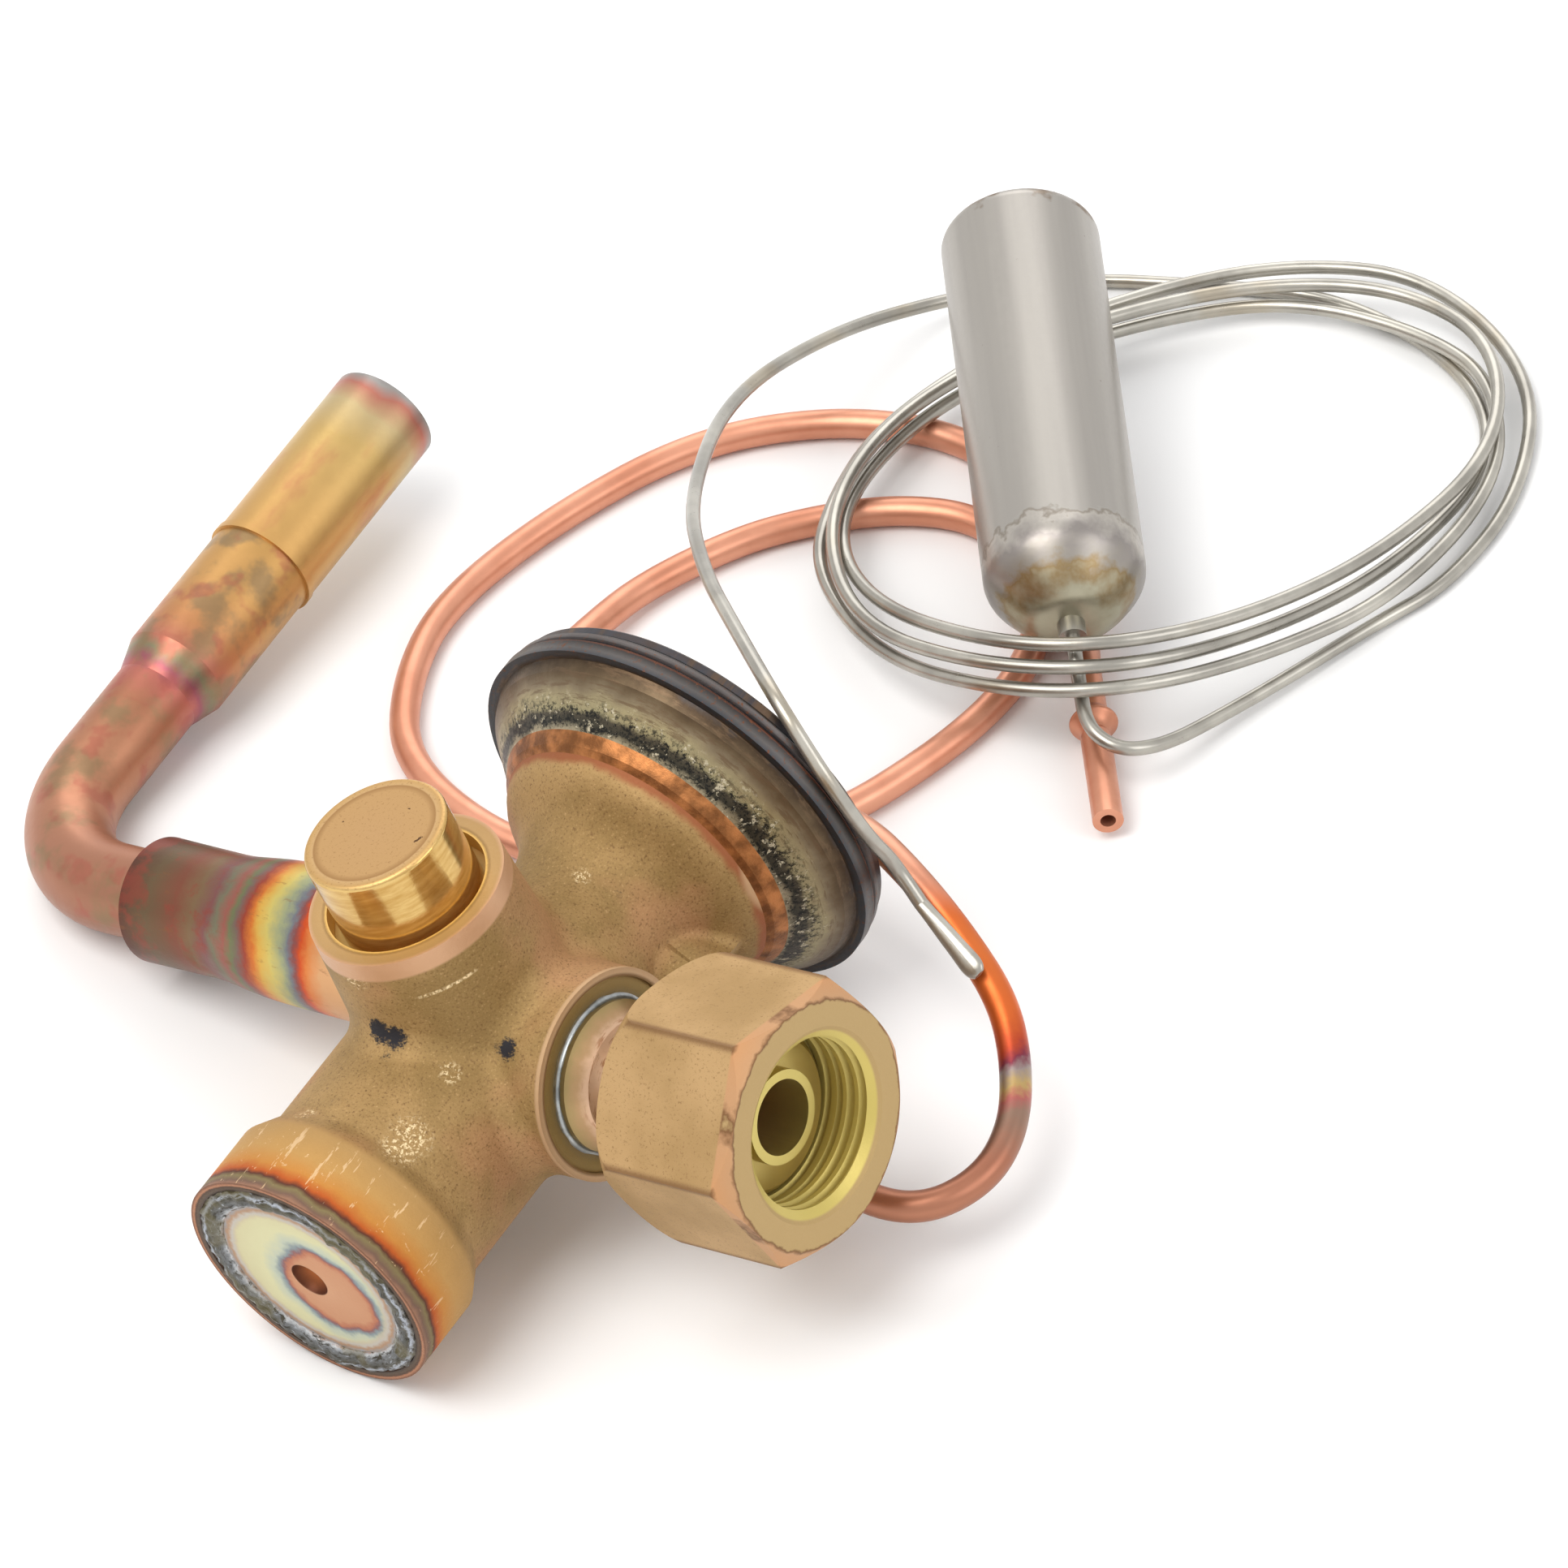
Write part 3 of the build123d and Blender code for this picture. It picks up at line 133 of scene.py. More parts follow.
CAPILLARY_ROUTE = [
    (67.2, 52.4, 8.15), (67.3, 49.4, 7.1), (68.1, 47.0, 6.5),
    (69.9, 45.3, 5.9), (72.5, 45.2, 5.1), (76.3, 47.2, 3.8), (81.6, 51.0, 2.6),
    (89.5, 56.5, 1.6), (100.5, 63.7, 1.0), (109.9, 69.8, 0.9), (119.4, 82.5, 1.0),
    (123.3, 100.9, 1.6), (115.2, 118.5, 2.5), (100.0, 124.8, 3.1), (83.4, 123.6, 3.4),
    (66.6, 117.3, 4.0), (52.0, 105.8, 5.0), (44.3, 94.0, 5.0), (41.7, 81.7, 5.0),
    (47.2, 65.5, 6.4), (59.3, 53.7, 9.2), (73.2, 50.6, 9.4), (88.0, 56.5, 6.0),
    (103.3, 66.1, 3.6), (116.3, 81.8, 3.0), (119.1, 98.6, 2.8), (112.7, 109.8, 2.8),
    (99.5, 118.5, 2.6), (83.6, 119.3, 2.7), (67.6, 114.6, 3.3), (53.3, 103.7, 4.8),
    (44.9, 89.2, 5.6), (47.3, 71.9, 8.6), (59.2, 57.3, 13.0), (73.2, 53.8, 13.2),
    (88.0, 60.2, 9.2), (103.2, 71.1, 5.8), (116.7, 85.6, 4.9), (119.8, 103.0, 4.8),
    (111.4, 115.4, 4.6), (96.6, 120.1, 4.7), (80.5, 118.8, 5.0), (64.4, 113.3, 5.6),
    (50.8, 101.8, 7.0), (43.6, 86.4, 7.6), (45.6, 69.5, 8.2), (57.3, 56.2, 11.2),
    (72.9, 52.3, 11.2), (89.5, 60.5, 6.2), (104.7, 72.0, 3.0), (116.7, 88.0, 1.3),
    (116.4, 104.4, 1.0), (105.6, 119.3, 0.9), (91.1, 126.4, 0.9), (75.5, 130.8, 1.1),
    (60.8, 128.3, 3.2), (47.0, 118.0, 9.0), (34.9, 97.8, 18.4), (29.0, 69.8, 29.4),
    (29.0, 48.8, 36.9), (31.2, 33.8, 41.2), (33.5, 22.5, 43.2), (35.1, 17.5, 42.4),
    (36.6, 14.9, 40.0), (38.2, 12.7, 37.2), (40.1, 11.7, 33.0), (41.9, 11.5, 28.8),
    (43.4, 11.9, 25.5),
]
TONGUE_START = (46.0, 9.6, 20.6)
TONGUE_WAY_IN = (0.42, -0.60, -0.68)
TONGUE_HEAT = (50.4, 5.0, 16.0)

# Camera in metres, degrees and mm of lens, and half the bench's width in metres
CAMERA_SPOT = (0.037517, -0.709495, 0.655087)
CAMERA_PITCH = 42.1003
CAMERA_TURN = 0.0232
CAMERA_ROLL = -8.8090
CAMERA_LENS = 205.04
BENCH_HALF = 6.0


def tone(red, green, blue):
    """Linear colour from its everyday 0 to 255 numbers."""
    return tuple((value / 255) ** 2.2 for value in (red, green, blue)) + (1.0,)


def standing(origin, way, across):
    """Placement whose Z runs along a way from an origin, both in the valve's own axes in mm."""
    z_axis = Vector(way).normalized()
    y_axis = z_axis.cross(Vector(across)).normalized()
    turn = Matrix((y_axis.cross(z_axis), y_axis, z_axis)).transposed().to_4x4()
    return VALVE @ Matrix.Translation(origin) @ turn


LEAN = math.radians(ELBOW_LEAN)
ANGLE = math.radians(EQUALISER_ANGLE)
LEG_WAY = (-math.sin(LEAN), 0, math.cos(LEAN))
EQUALISER_WAY = (math.cos(ANGLE), math.sin(ANGLE), 0)
HEAD_PLACE = VALVE
INLET_PLACE = standing((0, 0, 0), (1, 0, 0), (0, 1, 0))
CAP_PLACE = standing((0, 0, 0), (0, -1, 0), (1, 0, 0))
OUTLET_PLACE = standing((0, 0, OUTLET_Z), (-1, 0, 0), (0, 1, 0))
LEG_PLACE = standing((-ELBOW_CORNER, 0, OUTLET_Z), LEG_WAY, (0, 1, 0))
EQUALISER_PLACE = standing((0, 0, EQUALISER_Z), EQUALISER_WAY, (0, 0, 1))


def bulb_place():
    """Placement on the bulb's axis, from its far end."""
    way = Vector(BULB_WAY).normalized()
    side = way.cross(Vector((0, 0, 1))).normalized()
    turn = Matrix((side, way.cross(side), way)).transposed().to_4x4()
    return BENCH @ Matrix.Translation(BULB_FAR) @ turn


class Finish:
    """A material being wired up, with short calls for the nodes it needs. Lengths are in mm."""

    def __init__(self, name, metallic=1.0, roughness=0.4):
        self.material = bpy.data.materials.new(name)
        self.material.use_nodes = True
        self.tree = self.material.node_tree
        self.shader = self.tree.nodes["Principled BSDF"]
        self.shader.inputs["Metallic"].default_value = metallic
        self.shader.inputs["Roughness"].default_value = roughness
        self.object_place = self.node("ShaderNodeTexCoord").outputs["Object"]

    def node(self, kind, **settings):
        made = self.tree.nodes.new(kind)
        for name, value in settings.items():
            setattr(made, name, value)
        return made

    def feed(self, socket, value):
        """Put a number, colour or another node's output into a socket."""
        if isinstance(value, bpy.types.NodeSocket):
            self.tree.links.new(value, socket)
        else:
            socket.default_value = value

    def along(self, place):
        """Place of a point in a placement's own axes, in mm."""
        mapping = self.node("ShaderNodeMapping", vector_type="TEXTURE")
        location, turn, scale = place.decompose()
        mapping.inputs["Location"].default_value = location
        mapping.inputs["Rotation"].default_value = turn.to_euler()
        mapping.inputs["Scale"].default_value = scale
        self.feed(mapping.inputs["Vector"], self.object_place)
        return mapping.outputs["Vector"]

    def split(self, vector):
        made = self.node("ShaderNodeSeparateXYZ")
        self.feed(made.inputs[0], vector)
        return made.outputs

    def math(self, operation, *values):
        made = self.node("ShaderNodeMath", operation=operation)
        for socket, value in zip(made.inputs, values):
            self.feed(socket, value)
        return made.outputs[0]

    def stretch(self, vector, factors):
        made = self.node("ShaderNodeVectorMath", operation="MULTIPLY")
        self.feed(made.inputs[0], vector)
        made.inputs[1].default_value = factors
        return made.outputs[0]

    def radius(self, vector):
        """Distance from the Z axis."""
        flat = self.stretch(vector, (1, 1, 0))
        made = self.node("ShaderNodeVectorMath", operation="LENGTH")
        self.feed(made.inputs[0], flat)
        return made.outputs["Value"]

    def round_axis(self, vector, turns, depth):
        """Space for a noise that is drawn out round the Z axis."""
        radius = self.radius(vector)
        flat = self.node("ShaderNodeVectorMath", operation="NORMALIZE")
        self.feed(flat.inputs[0], self.stretch(vector, (1, 1, 0)))
        wound = self.split(self.stretch(flat.outputs[0], (turns, turns, 0)))
        made = self.node("ShaderNodeCombineXYZ")
        self.feed(made.inputs[0], wound[0])
        self.feed(made.inputs[1], wound[1])
        self.feed(made.inputs[2], self.math("MULTIPLY", radius, depth))
        return made.outputs[0]

    def noise(self, vector, scale, detail=3.0, roughness=0.55, distortion=0.0):
        made = self.node("ShaderNodeTexNoise")
        self.feed(made.inputs["Vector"], vector)
        made.inputs["Scale"].default_value = scale
        made.inputs["Detail"].default_value = detail
        made.inputs["Roughness"].default_value = roughness
        made.inputs["Distortion"].default_value = distortion
        return made.outputs["Fac"]

    def between(self, value, low, high, soft=True):
        """0 below low, 1 above high. With low above high it falls instead."""
        made = self.node("ShaderNodeMapRange", clamp=True)
        made.interpolation_type = "SMOOTHSTEP" if soft else "LINEAR"
        self.feed(made.inputs["Value"], value)
        if low < high:
            ends = (low, high, 0.0, 1.0)
        else:
            ends = (high, low, 1.0, 0.0)
        for name, end in zip(("From Min", "From Max", "To Min", "To Max"), ends):
            made.inputs[name].default_value = end
        return made.outputs["Result"]

    def mix(self, share, first, second):
        made = self.node("ShaderNodeMix", data_type="RGBA")
        self.feed(made.inputs[0], share)
        self.feed(made.inputs[6], first)
        self.feed(made.inputs[7], second)
        return made.outputs[2]

    def bands(self, value, *stops):
        """Colour that runs through stops of a place and an everyday colour as the value grows."""
        low, high = stops[0][0], stops[-1][0]
        share = self.between(value, low, high, soft=False)
        made = self.node("ShaderNodeValToRGB")
        elements = made.color_ramp.elements
        while len(elements) < len(stops):
            elements.new(0.5)
        for element, (place, *colour) in zip(elements, stops):
            element.position = (place - low) / (high - low)
            element.color = tone(*colour)
        self.feed(made.inputs["Fac"], share)
        return made.outputs["Color"]

    def spot(self, vector, centre, inner, outer, ragged=None, raggedness=1.0):
        """1 near a point, 0 away from it, with an edge that a noise may make ragged."""
        away = self.node("ShaderNodeVectorMath", operation="DISTANCE")
        self.feed(away.inputs[0], vector)
        away.inputs[1].default_value = centre
        reach = away.outputs["Value"]
        if ragged is not None:
            reach = self.math("MULTIPLY_ADD", ragged, raggedness, reach)
        return self.between(reach, outer, inner)

    def colour(self, value):
        self.feed(self.shader.inputs["Base Color"], value)

    def gloss(self, pattern, base, spread):
        """Roughness that swings about a base with a 0 to 1 pattern."""
        value = self.math("MULTIPLY_ADD", pattern, spread, base - spread / 2)
        self.feed(self.shader.inputs["Roughness"], value)

    def bump(self, height, depth, strength=1.0):
        """Relief of a depth in mm."""
        made = self.node("ShaderNodeBump")
        made.inputs["Strength"].default_value = strength
        made.inputs["Distance"].default_value = depth * MM
        self.feed(made.inputs["Height"], height)
        self.feed(self.shader.inputs["Normal"], made.outputs["Normal"])

    def mottled(self, vector, dark, light, scale, spread=0.18):
        """Two tones in soft patches."""
        patches = self.noise(vector, scale, 4.0)
        return self.mix(self.between(patches, 0.5 - spread, 0.5 + spread), dark, light)


def dress(finish, *nodes):
    """Give a finish to nodes of the frame."""
    for name in nodes:
        slots = frame["nodes"][name].data.materials
        slots.clear()
        slots.append(finish.material)


def add_piece(name, mesh, body, finish=None):
    """Put a finished mesh into the scene on a body."""
    piece = bpy.data.objects.new(name, mesh)
    bpy.context.scene.collection.objects.link(piece)
    if finish is not None:
        mesh.materials.clear()
        mesh.materials.append(finish.material)
    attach(piece, body)
    return piece


def smooth(mesh, sharp_angle=35):
    """Smooth shading apart from real corners."""
    mesh.shade_smooth()
    mesh.set_sharp_from_angle(angle=math.radians(sharp_angle))


def turned(name, place, profile, steps=144, shape=None):
    """Mesh turned about Z from a closed outline of (radius, height) points, which shape may move."""
    mesh = bpy.data.meshes.new(name)
    form = bmesh.new()
    rings = []
    for step in range(steps):
        angle = math.tau * step / steps
        ring = []
        for radius, height in profile:
            if shape:
                radius, height = shape(radius, height, angle)
            spot = Vector((radius * math.cos(angle), radius * math.sin(angle), height))
            ring.append(form.verts.new(place @ spot))
        rings.append(ring)
    count = len(profile)
    for ring, following in zip(rings, rings[1:] + rings[:1]):
        for here in range(count):
            after = (here + 1) % count
            form.faces.new((ring[here], following[here], following[after], ring[after]))
    bmesh.ops.remove_doubles(form, verts=form.verts, dist=0.001 * MM)
    bmesh.ops.dissolve_degenerate(form, edges=form.edges, dist=0.0001 * MM)
    bmesh.ops.recalc_face_normals(form, faces=form.faces)
    form.to_mesh(mesh)
    form.free()
    smooth(mesh)
    return mesh


def merged_copy(name, node):
    """Copy of a node's mesh with its loose triangles joined and its shading left to be set."""
    mesh = frame["nodes"][node].data.copy()
    mesh.name = name
    mesh.attributes.remove(mesh.attributes["custom_normal"])
    form = bmesh.new()
    form.from_mesh(mesh)
    bmesh.ops.remove_doubles(form, verts=form.verts, dist=0.0005 * MM)
    form.to_mesh(mesh)
    form.free()
    return mesh


def settled(piece):
    """Mesh of a piece with its modifiers worked in."""
    graph = bpy.context.evaluated_depsgraph_get()
    return bpy.data.meshes.new_from_object(piece.evaluated_get(graph), depsgraph=graph)


def evened(mesh, sharp_angle):
    """Mesh whose large faces lead the shading, so that flats stay flat beside their edges."""
    smooth(mesh, sharp_angle)
    holder = bpy.data.objects.new("holder", mesh)
    bpy.context.scene.collection.objects.link(holder)
    modifier = holder.modifiers.new("even", "WEIGHTED_NORMAL")
    modifier.keep_sharp = True
    modifier.weight = 80
    result = settled(holder)
    result.name = mesh.name
    bpy.data.objects.remove(holder)
    return result


def corner_points(points):
    """Corners that stand outside a run of points, so that a smooth line passes through them."""
    points = [Vector(point) for point in points]
    corners = list(points)
    for _ in range(6):
        inner = [
            point + (here * 2 - before - after) / 8
            for point, before, here, after in zip(points[1:], corners, corners[1:], corners[2:])
        ]
        corners = [points[0]] + inner + [points[-1]]
    return corners


def tube_corners(start, way_out, route, way_in, end):
    """Control points of a tube that leaves its start and enters its end straight."""
    start, end = Vector(start), Vector(end)
    lead = start + Vector(way_out).normalized() * LEAD
    tail = end - Vector(way_in).normalized() * LEAD
    return [start] + corner_points([lead] + route + [tail]) + [end]


def tube(name, corners, radius, finish):
    """Smooth round tube along its control points, which are on the bench in mm."""
    data = bpy.data.curves.new(name, "CURVE")
    data.dimensions = "3D"
    line = data.splines.new("NURBS")
    line.points.add(len(corners) - 1)
    for point, corner in zip(line.points, corners):
        point.co = (BENCH @ corner).to_4d()
    line.order_u = 3
    line.use_endpoint_u = True
    data.resolution_u = 10
    data.bevel_depth = radius * MM
    data.bevel_resolution = 6
    data.use_fill_caps = True
    data.materials.append(finish.material)
    piece = bpy.data.objects.new(name, data)
    bpy.context.scene.collection.objects.link(piece)
    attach(piece, "valve")
    return piece


def forged_brass():
    """Sand-blasted forging, heat tinted at its lower end and beside the brazed joints, with painted light in
    the recess round the cap.
    """
    finish = Finish("forged_brass", metallic=0.45, roughness=0.6)
    mm = finish.along(VALVE)
    place = finish.split(mm)
    colour = finish.mottled(mm, tone(146, 118, 72), tone(170, 138, 90), 0.08, 0.12)
    ruddy = finish.between(finish.noise(mm, 0.06, 3.0), 0.46, 0.62)
    colour = finish.mix(finish.math("MULTIPLY", ruddy, 0.7), colour, tone(176, 130, 92))
    grain = finish.noise(mm, 3.4, 5.0, 0.75)
    colour = finish.mix(finish.between(grain, 0.48, 0.34), colour, tone(118, 88, 54))
    colour = finish.mix(finish.between(grain, 0.56, 0.72), colour, tone(194, 160, 112))
    specks = finish.noise(mm, 1.3, 6.0, 0.8)
    colour = finish.mix(finish.between(specks, 0.73, 0.77), colour, tone(84, 64, 46))
    smear = finish.noise(finish.stretch(mm, (1.0, 1.0, 1.7)), 1.9, 6.0, 0.85)
    for centre, reach in BODY_SOOT:
        blot = finish.spot(mm, centre, reach + 2.0, reach + 2.5, smear, 4.4)
        colour = finish.mix(blot, colour, tone(40, 38, 42))
    bright = None
    flakes = finish.between(finish.noise(mm, 2.4, 5.0, 0.75), 0.53, 0.57)
    for centre, reach in BODY_FLAKES:
        patch = finish.math("MULTIPLY", finish.spot(mm, centre, reach * 0.3, reach), flakes)
        bright = patch if bright is None else finish.math("MAXIMUM", bright, patch)
    boss = finish.split(finish.along(CAP_PLACE))[2]
    arc = finish.math("MULTIPLY", finish.between(boss, 18.1, 18.2), finish.between(boss, 18.6, 18.4))
    arc = finish.math("MULTIPLY", arc, finish.spot(mm, BODY_ARC, 3.4, 4.4, specks, 1.5))
    arc = finish.math("MULTIPLY", arc, finish.between(smear, 0.44, 0.56))
    bright = finish.math("MAXIMUM", bright, arc)
    colour = finish.mix(bright, colour, tone(238, 214, 168))
    wander = finish.math("MULTIPLY", finish.noise(mm, 0.3, 3.0), 1.6)
    height = finish.math("ADD", place[2], wander)
    colour = finish.mix(finish.between(height, 26.4, 27.4), colour, tone(146, 88, 54))
    burnt = finish.bands(
        height,
        (-33.6, 92, 66, 54), (-33.1, 146, 108, 86), (-32.6, 112, 86, 72), (-31.9, 124, 110, 74),
        (-31.4, 84, 44, 30), (-30.8, 176, 84, 28), (-29.6, 188, 128, 58), (-27.6, 184, 142, 82),
        (-24.6, 172, 136, 84),
    )
    colour = finish.mix(finish.between(place[2], -23.6, -25.4), colour, burnt)
    scars = finish.noise(finish.stretch(mm, (0.30, 0.30, 0.05)), 1.7, 5.0, 0.8)
    across = finish.noise(finish.stretch(mm, (0.6, 0.06, 0.6)), 1.5, 5.0, 0.8)
    scars = finish.math("MAXIMUM", finish.between(scars, 0.62, 0.64), finish.between(across, 0.64, 0.66))
    bare = finish.math("MULTIPLY", scars, finish.between(place[2], -24.5, -26.5))
    colour = finish.mix(finish.math("MULTIPLY", bare, 0.7), colour, tone(218, 184, 140))
    inlet = finish.along(INLET_PLACE)
    reach = finish.split(inlet)[2]
    rim = finish.radius(inlet)
    face = finish.between(reach, INLET_FACE - 0.7, INLET_FACE - 0.3)
    dished = finish.bands(
        rim,
        (8.2, 120, 112, 84), (9.2, 150, 130, 80), (10.1, 168, 146, 92), (10.4, 132, 100, 66),
        (10.7, 204, 172, 134), (11.6, 186, 150, 112),
    )
    colour = finish.mix(face, colour, dished)
    cap = finish.along(CAP_PLACE)
    depth = finish.split(cap)[2]
    lip = finish.math(
        "MULTIPLY", finish.between(depth, CAP_FACE - 2.4, CAP_FACE - 2.0),
        finish.between(finish.radius(cap), 11.4, 10.8),
    )
    # Collar face and recess round the cap: the bright gold bands from radius 8.4 to 9.0 are painted light in
    # the recess, which its depth shades; the outer bands are the lip's own colour
    lip_and_painted_recess_light = finish.bands(
        finish.math("MULTIPLY_ADD", grain, 0.3, finish.radius(cap)),
        (8.4, 250, 214, 128), (9.0, 236, 190, 104), (9.3, 158, 122, 72), (9.6, 188, 150, 96),
        (10.5, 182, 144, 92), (10.9, 200, 156, 120),
    )
    colour = finish.mix(lip, colour, lip_and_painted_recess_light)
    bottom = finish.between(place[2], 0.12 - BASE_DROP, 0.02 - BASE_DROP)
    edge = finish.bands(
        finish.math("ADD", finish.radius(mm), finish.math("MULTIPLY", grain, 0.4)),
        (13.4, 60, 50, 46), (13.8, 92, 76, 62), (14.1, 80, 58, 44), (14.3, 178, 124, 92),
        (14.55, 128, 88, 66), (14.9, 84, 60, 48),
    )
    finish.colour(finish.mix(bottom, colour, edge))
    shine = finish.math("MAXIMUM", bright, finish.math("MAXIMUM", lip, bare))
    rough = finish.math("MULTIPLY_ADD", grain, 0.25, 0.5)
    finish.feed(finish.shader.inputs["Roughness"], finish.math("MULTIPLY_ADD", shine, -0.22, rough))
    waves = finish.noise(mm, 0.5, 2.0)
    height = finish.math("ADD", finish.math("MULTIPLY", grain, 0.45), waves)
    pip = finish.spot(mm, BODY_PIP, 0.5, 1.1)
    height = finish.math("ADD", height, finish.math("MULTIPLY", pip, 1.2))
    finish.bump(height, 0.1, 0.7)
    return finish


def machined_brass(name, dark, light, place, roughness=0.3, rings=5.0):
    """Turned brass with fine tool marks round its axis."""
    finish = Finish(name, metallic=1.0, roughness=roughness)
    mm = finish.along(place)
    radius = finish.radius(mm)
    along = finish.split(mm)[2]
    marks = finish.node("ShaderNodeCombineXYZ")
    finish.feed(marks.inputs[0], radius)
    finish.feed(marks.inputs[1], along)
    lines = finish.noise(marks.outputs[0], rings, 3.0, 0.7)
    colour = finish.mix(finish.between(lines, 0.35, 0.65), dark, light)
    stains = finish.noise(mm, 0.3, 4.0)
    colour = finish.mix(finish.between(stains, 0.58, 0.75), colour, dark)
    finish.colour(colour)
    finish.gloss(lines, roughness, 0.2)
    finish.bump(lines, 0.02, 0.5)
    return finish


def cap_brass():
    """Cap with a polished side and a matt top that has one faint ring."""
    finish = Finish("cap_brass", metallic=0.85, roughness=0.2)
    mm = finish.along(CAP_PLACE)
    top = finish.between(finish.split(mm)[2], CAP_TOP - 0.35, CAP_TOP - 0.05)
    lines = finish.noise(finish.stretch(mm, (0.15, 0.15, 1.0)), 1.6, 4.0, 0.7)
    side = finish.mix(finish.between(lines, 0.3, 0.7), tone(186, 146, 82), tone(212, 178, 114))
    radius = finish.radius(mm)
    face = finish.bands(
        radius,
        (0.0, 186, 148, 102), (6.0, 186, 148, 100), (6.7, 160, 122, 78), (6.85, 196, 160, 112),
        (7.5, 190, 152, 98), (7.9, 212, 176, 116),
    )
    grain = finish.noise(mm, 3.0, 4.0, 0.7)
    face = finish.mix(finish.between(grain, 0.44, 0.34), face, tone(166, 128, 84))
    pits = finish.between(finish.noise(mm, 0.8, 3.0, 0.6), 0.73, 0.76)
    face = finish.mix(pits, face, tone(92, 66, 44))
    finish.colour(finish.mix(top, side, face))
    rough = finish.math("MULTIPLY_ADD", grain, 0.1, 0.08)
    finish.feed(finish.shader.inputs["Roughness"], finish.math("MULTIPLY_ADD", top, 0.36, rough))
    finish.bump(grain, 0.02, 0.4)
    return finish


def stub_brass():
    """Inlet stub: olive beside its braze, then bright with brown streaks of heat."""
    finish = Finish("stub_brass", metallic=0.75, roughness=0.34)
    mm = finish.along(INLET_PLACE)
    fine = finish.noise(mm, 0.9, 4.0, 0.6)
    along = finish.math("MULTIPLY_ADD", fine, 1.0, finish.split(mm)[2])
    colour = finish.bands(
        along,
        (16.5, 132, 118, 84), (17.6, 158, 136, 92), (18.5, 176, 142, 104), (19.2, 206, 170, 140),
        (24.0, 204, 166, 132), (33.0, 196, 164, 110), (40.0, 196, 178, 104),
    )
    streaks = finish.noise(finish.stretch(mm, (0.35, 0.35, 2.0)), 0.9, 4.0, 0.6)
    share = finish.math("MULTIPLY", finish.between(streaks, 0.54, 0.64), finish.between(along, 18.5, 19.5))
    share = finish.math("MULTIPLY", share, finish.between(along, 30.0, 28.0))
    finish.colour(finish.mix(finish.math("MULTIPLY", share, 0.8), colour, tone(150, 100, 62)))
    finish.gloss(fine, 0.34, 0.2)
    finish.bump(fine, 0.02, 0.4)
    return finish


def nut_brass(light):
    """Nut hot-forged and turned: matt flats with darker edges, yellow inside."""
    finish = Finish("nut_brass", metallic=0.4, roughness=0.55)
    mm = finish.along(INLET_PLACE)
    colour = finish.mottled(mm, tone(164, 132, 86), light, 0.07, 0.14)
    grain = finish.noise(mm, 3.2, 5.0, 0.75)
    colour = finish.mix(finish.between(grain, 0.46, 0.32), colour, tone(138, 106, 66))
    radius = finish.radius(mm)
    along = finish.split(mm)[2]
    uneven = finish.math("MULTIPLY_ADD", finish.noise(mm, 0.5, 4.0), 1.2, radius)
    front = finish.between(along, NUT_FACE - 1.9, NUT_FACE - 1.6)
    cone = finish.bands(
        uneven,
        (13.3, 176, 148, 100), (13.5, 120, 84, 52), (13.8, 188, 144, 104), (15.2, 192, 142, 98),
        (15.5, 132, 92, 56),
    )
    colour = finish.mix(front, colour, cone)
    inside = finish.between(radius, 9.9, 9.6)
    colour = finish.mix(inside, colour, tone(196, 176, 96))
    corner = finish.between(finish.math("MULTIPLY_ADD", grain, 0.3, radius), 14.75, 15.1)
    colour = finish.mix(finish.math("MULTIPLY", corner, 0.8), colour, tone(116, 82, 50))
    finish.colour(colour)
    rough = finish.math("MULTIPLY_ADD", grain, 0.2, 0.5)
    finish.feed(finish.shader.inputs["Roughness"], finish.math("MULTIPLY_ADD", inside, -0.25, rough))
    finish.bump(grain, 0.05, 0.5)
    return finish


def plain_metal(name, dark, light, scale=0.4, roughness=0.4, relief=0.02, metallic=1.0, place=None):
    """Metal in two close tones with a fine grain."""
    finish = Finish(name, metallic=metallic, roughness=roughness)
    mm = finish.along(place or VALVE)
    finish.colour(finish.mottled(mm, dark, light, scale))
    grain = finish.noise(mm, 4.0, 4.0, 0.7)
    finish.gloss(grain, roughness, 0.25)
    finish.bump(grain, relief, 0.6)
    return finish


def rough_weld():
    """Grey weld drawn out round its ring, with pale edges and dark holes."""
    finish = Finish("rough_weld", metallic=0.55, roughness=0.5)
    mm = finish.along(VALVE)
    grain = finish.noise(finish.round_axis(mm, 9.0, 2.6), 1.0, 5.0, 0.7)
    fine = finish.noise(mm, 2.6, 4.0, 0.7)
    radius = finish.math("ADD", finish.radius(mm), finish.math("MULTIPLY_ADD", fine, 0.7, -0.35))
    colour = finish.bands(
        radius,
        (10.5, 150, 112, 86), (10.8, 190, 192, 194), (11.2, 120, 122, 124), (12.0, 92, 92, 88),
        (12.5, 84, 80, 66), (12.8, 178, 184, 194), (13.1, 104, 100, 92), (13.5, 58, 46, 40),
    )
    colour = finish.mix(finish.between(grain, 0.50, 0.38), colour, tone(62, 58, 50))
    colour = finish.mix(finish.between(grain, 0.57, 0.70), colour, tone(176, 182, 190))
    olive = finish.between(finish.noise(mm, 0.14, 2.0), 0.48, 0.58)
    colour = finish.mix(finish.math("MULTIPLY", olive, 0.6), colour, tone(106, 98, 66))
    holes = finish.between(finish.noise(mm, 1.2, 4.0, 0.6), 0.66, 0.72)
    finish.colour(finish.mix(holes, colour, tone(50, 44, 36)))
    finish.bump(grain, 0.25, 0.9)
    return finish


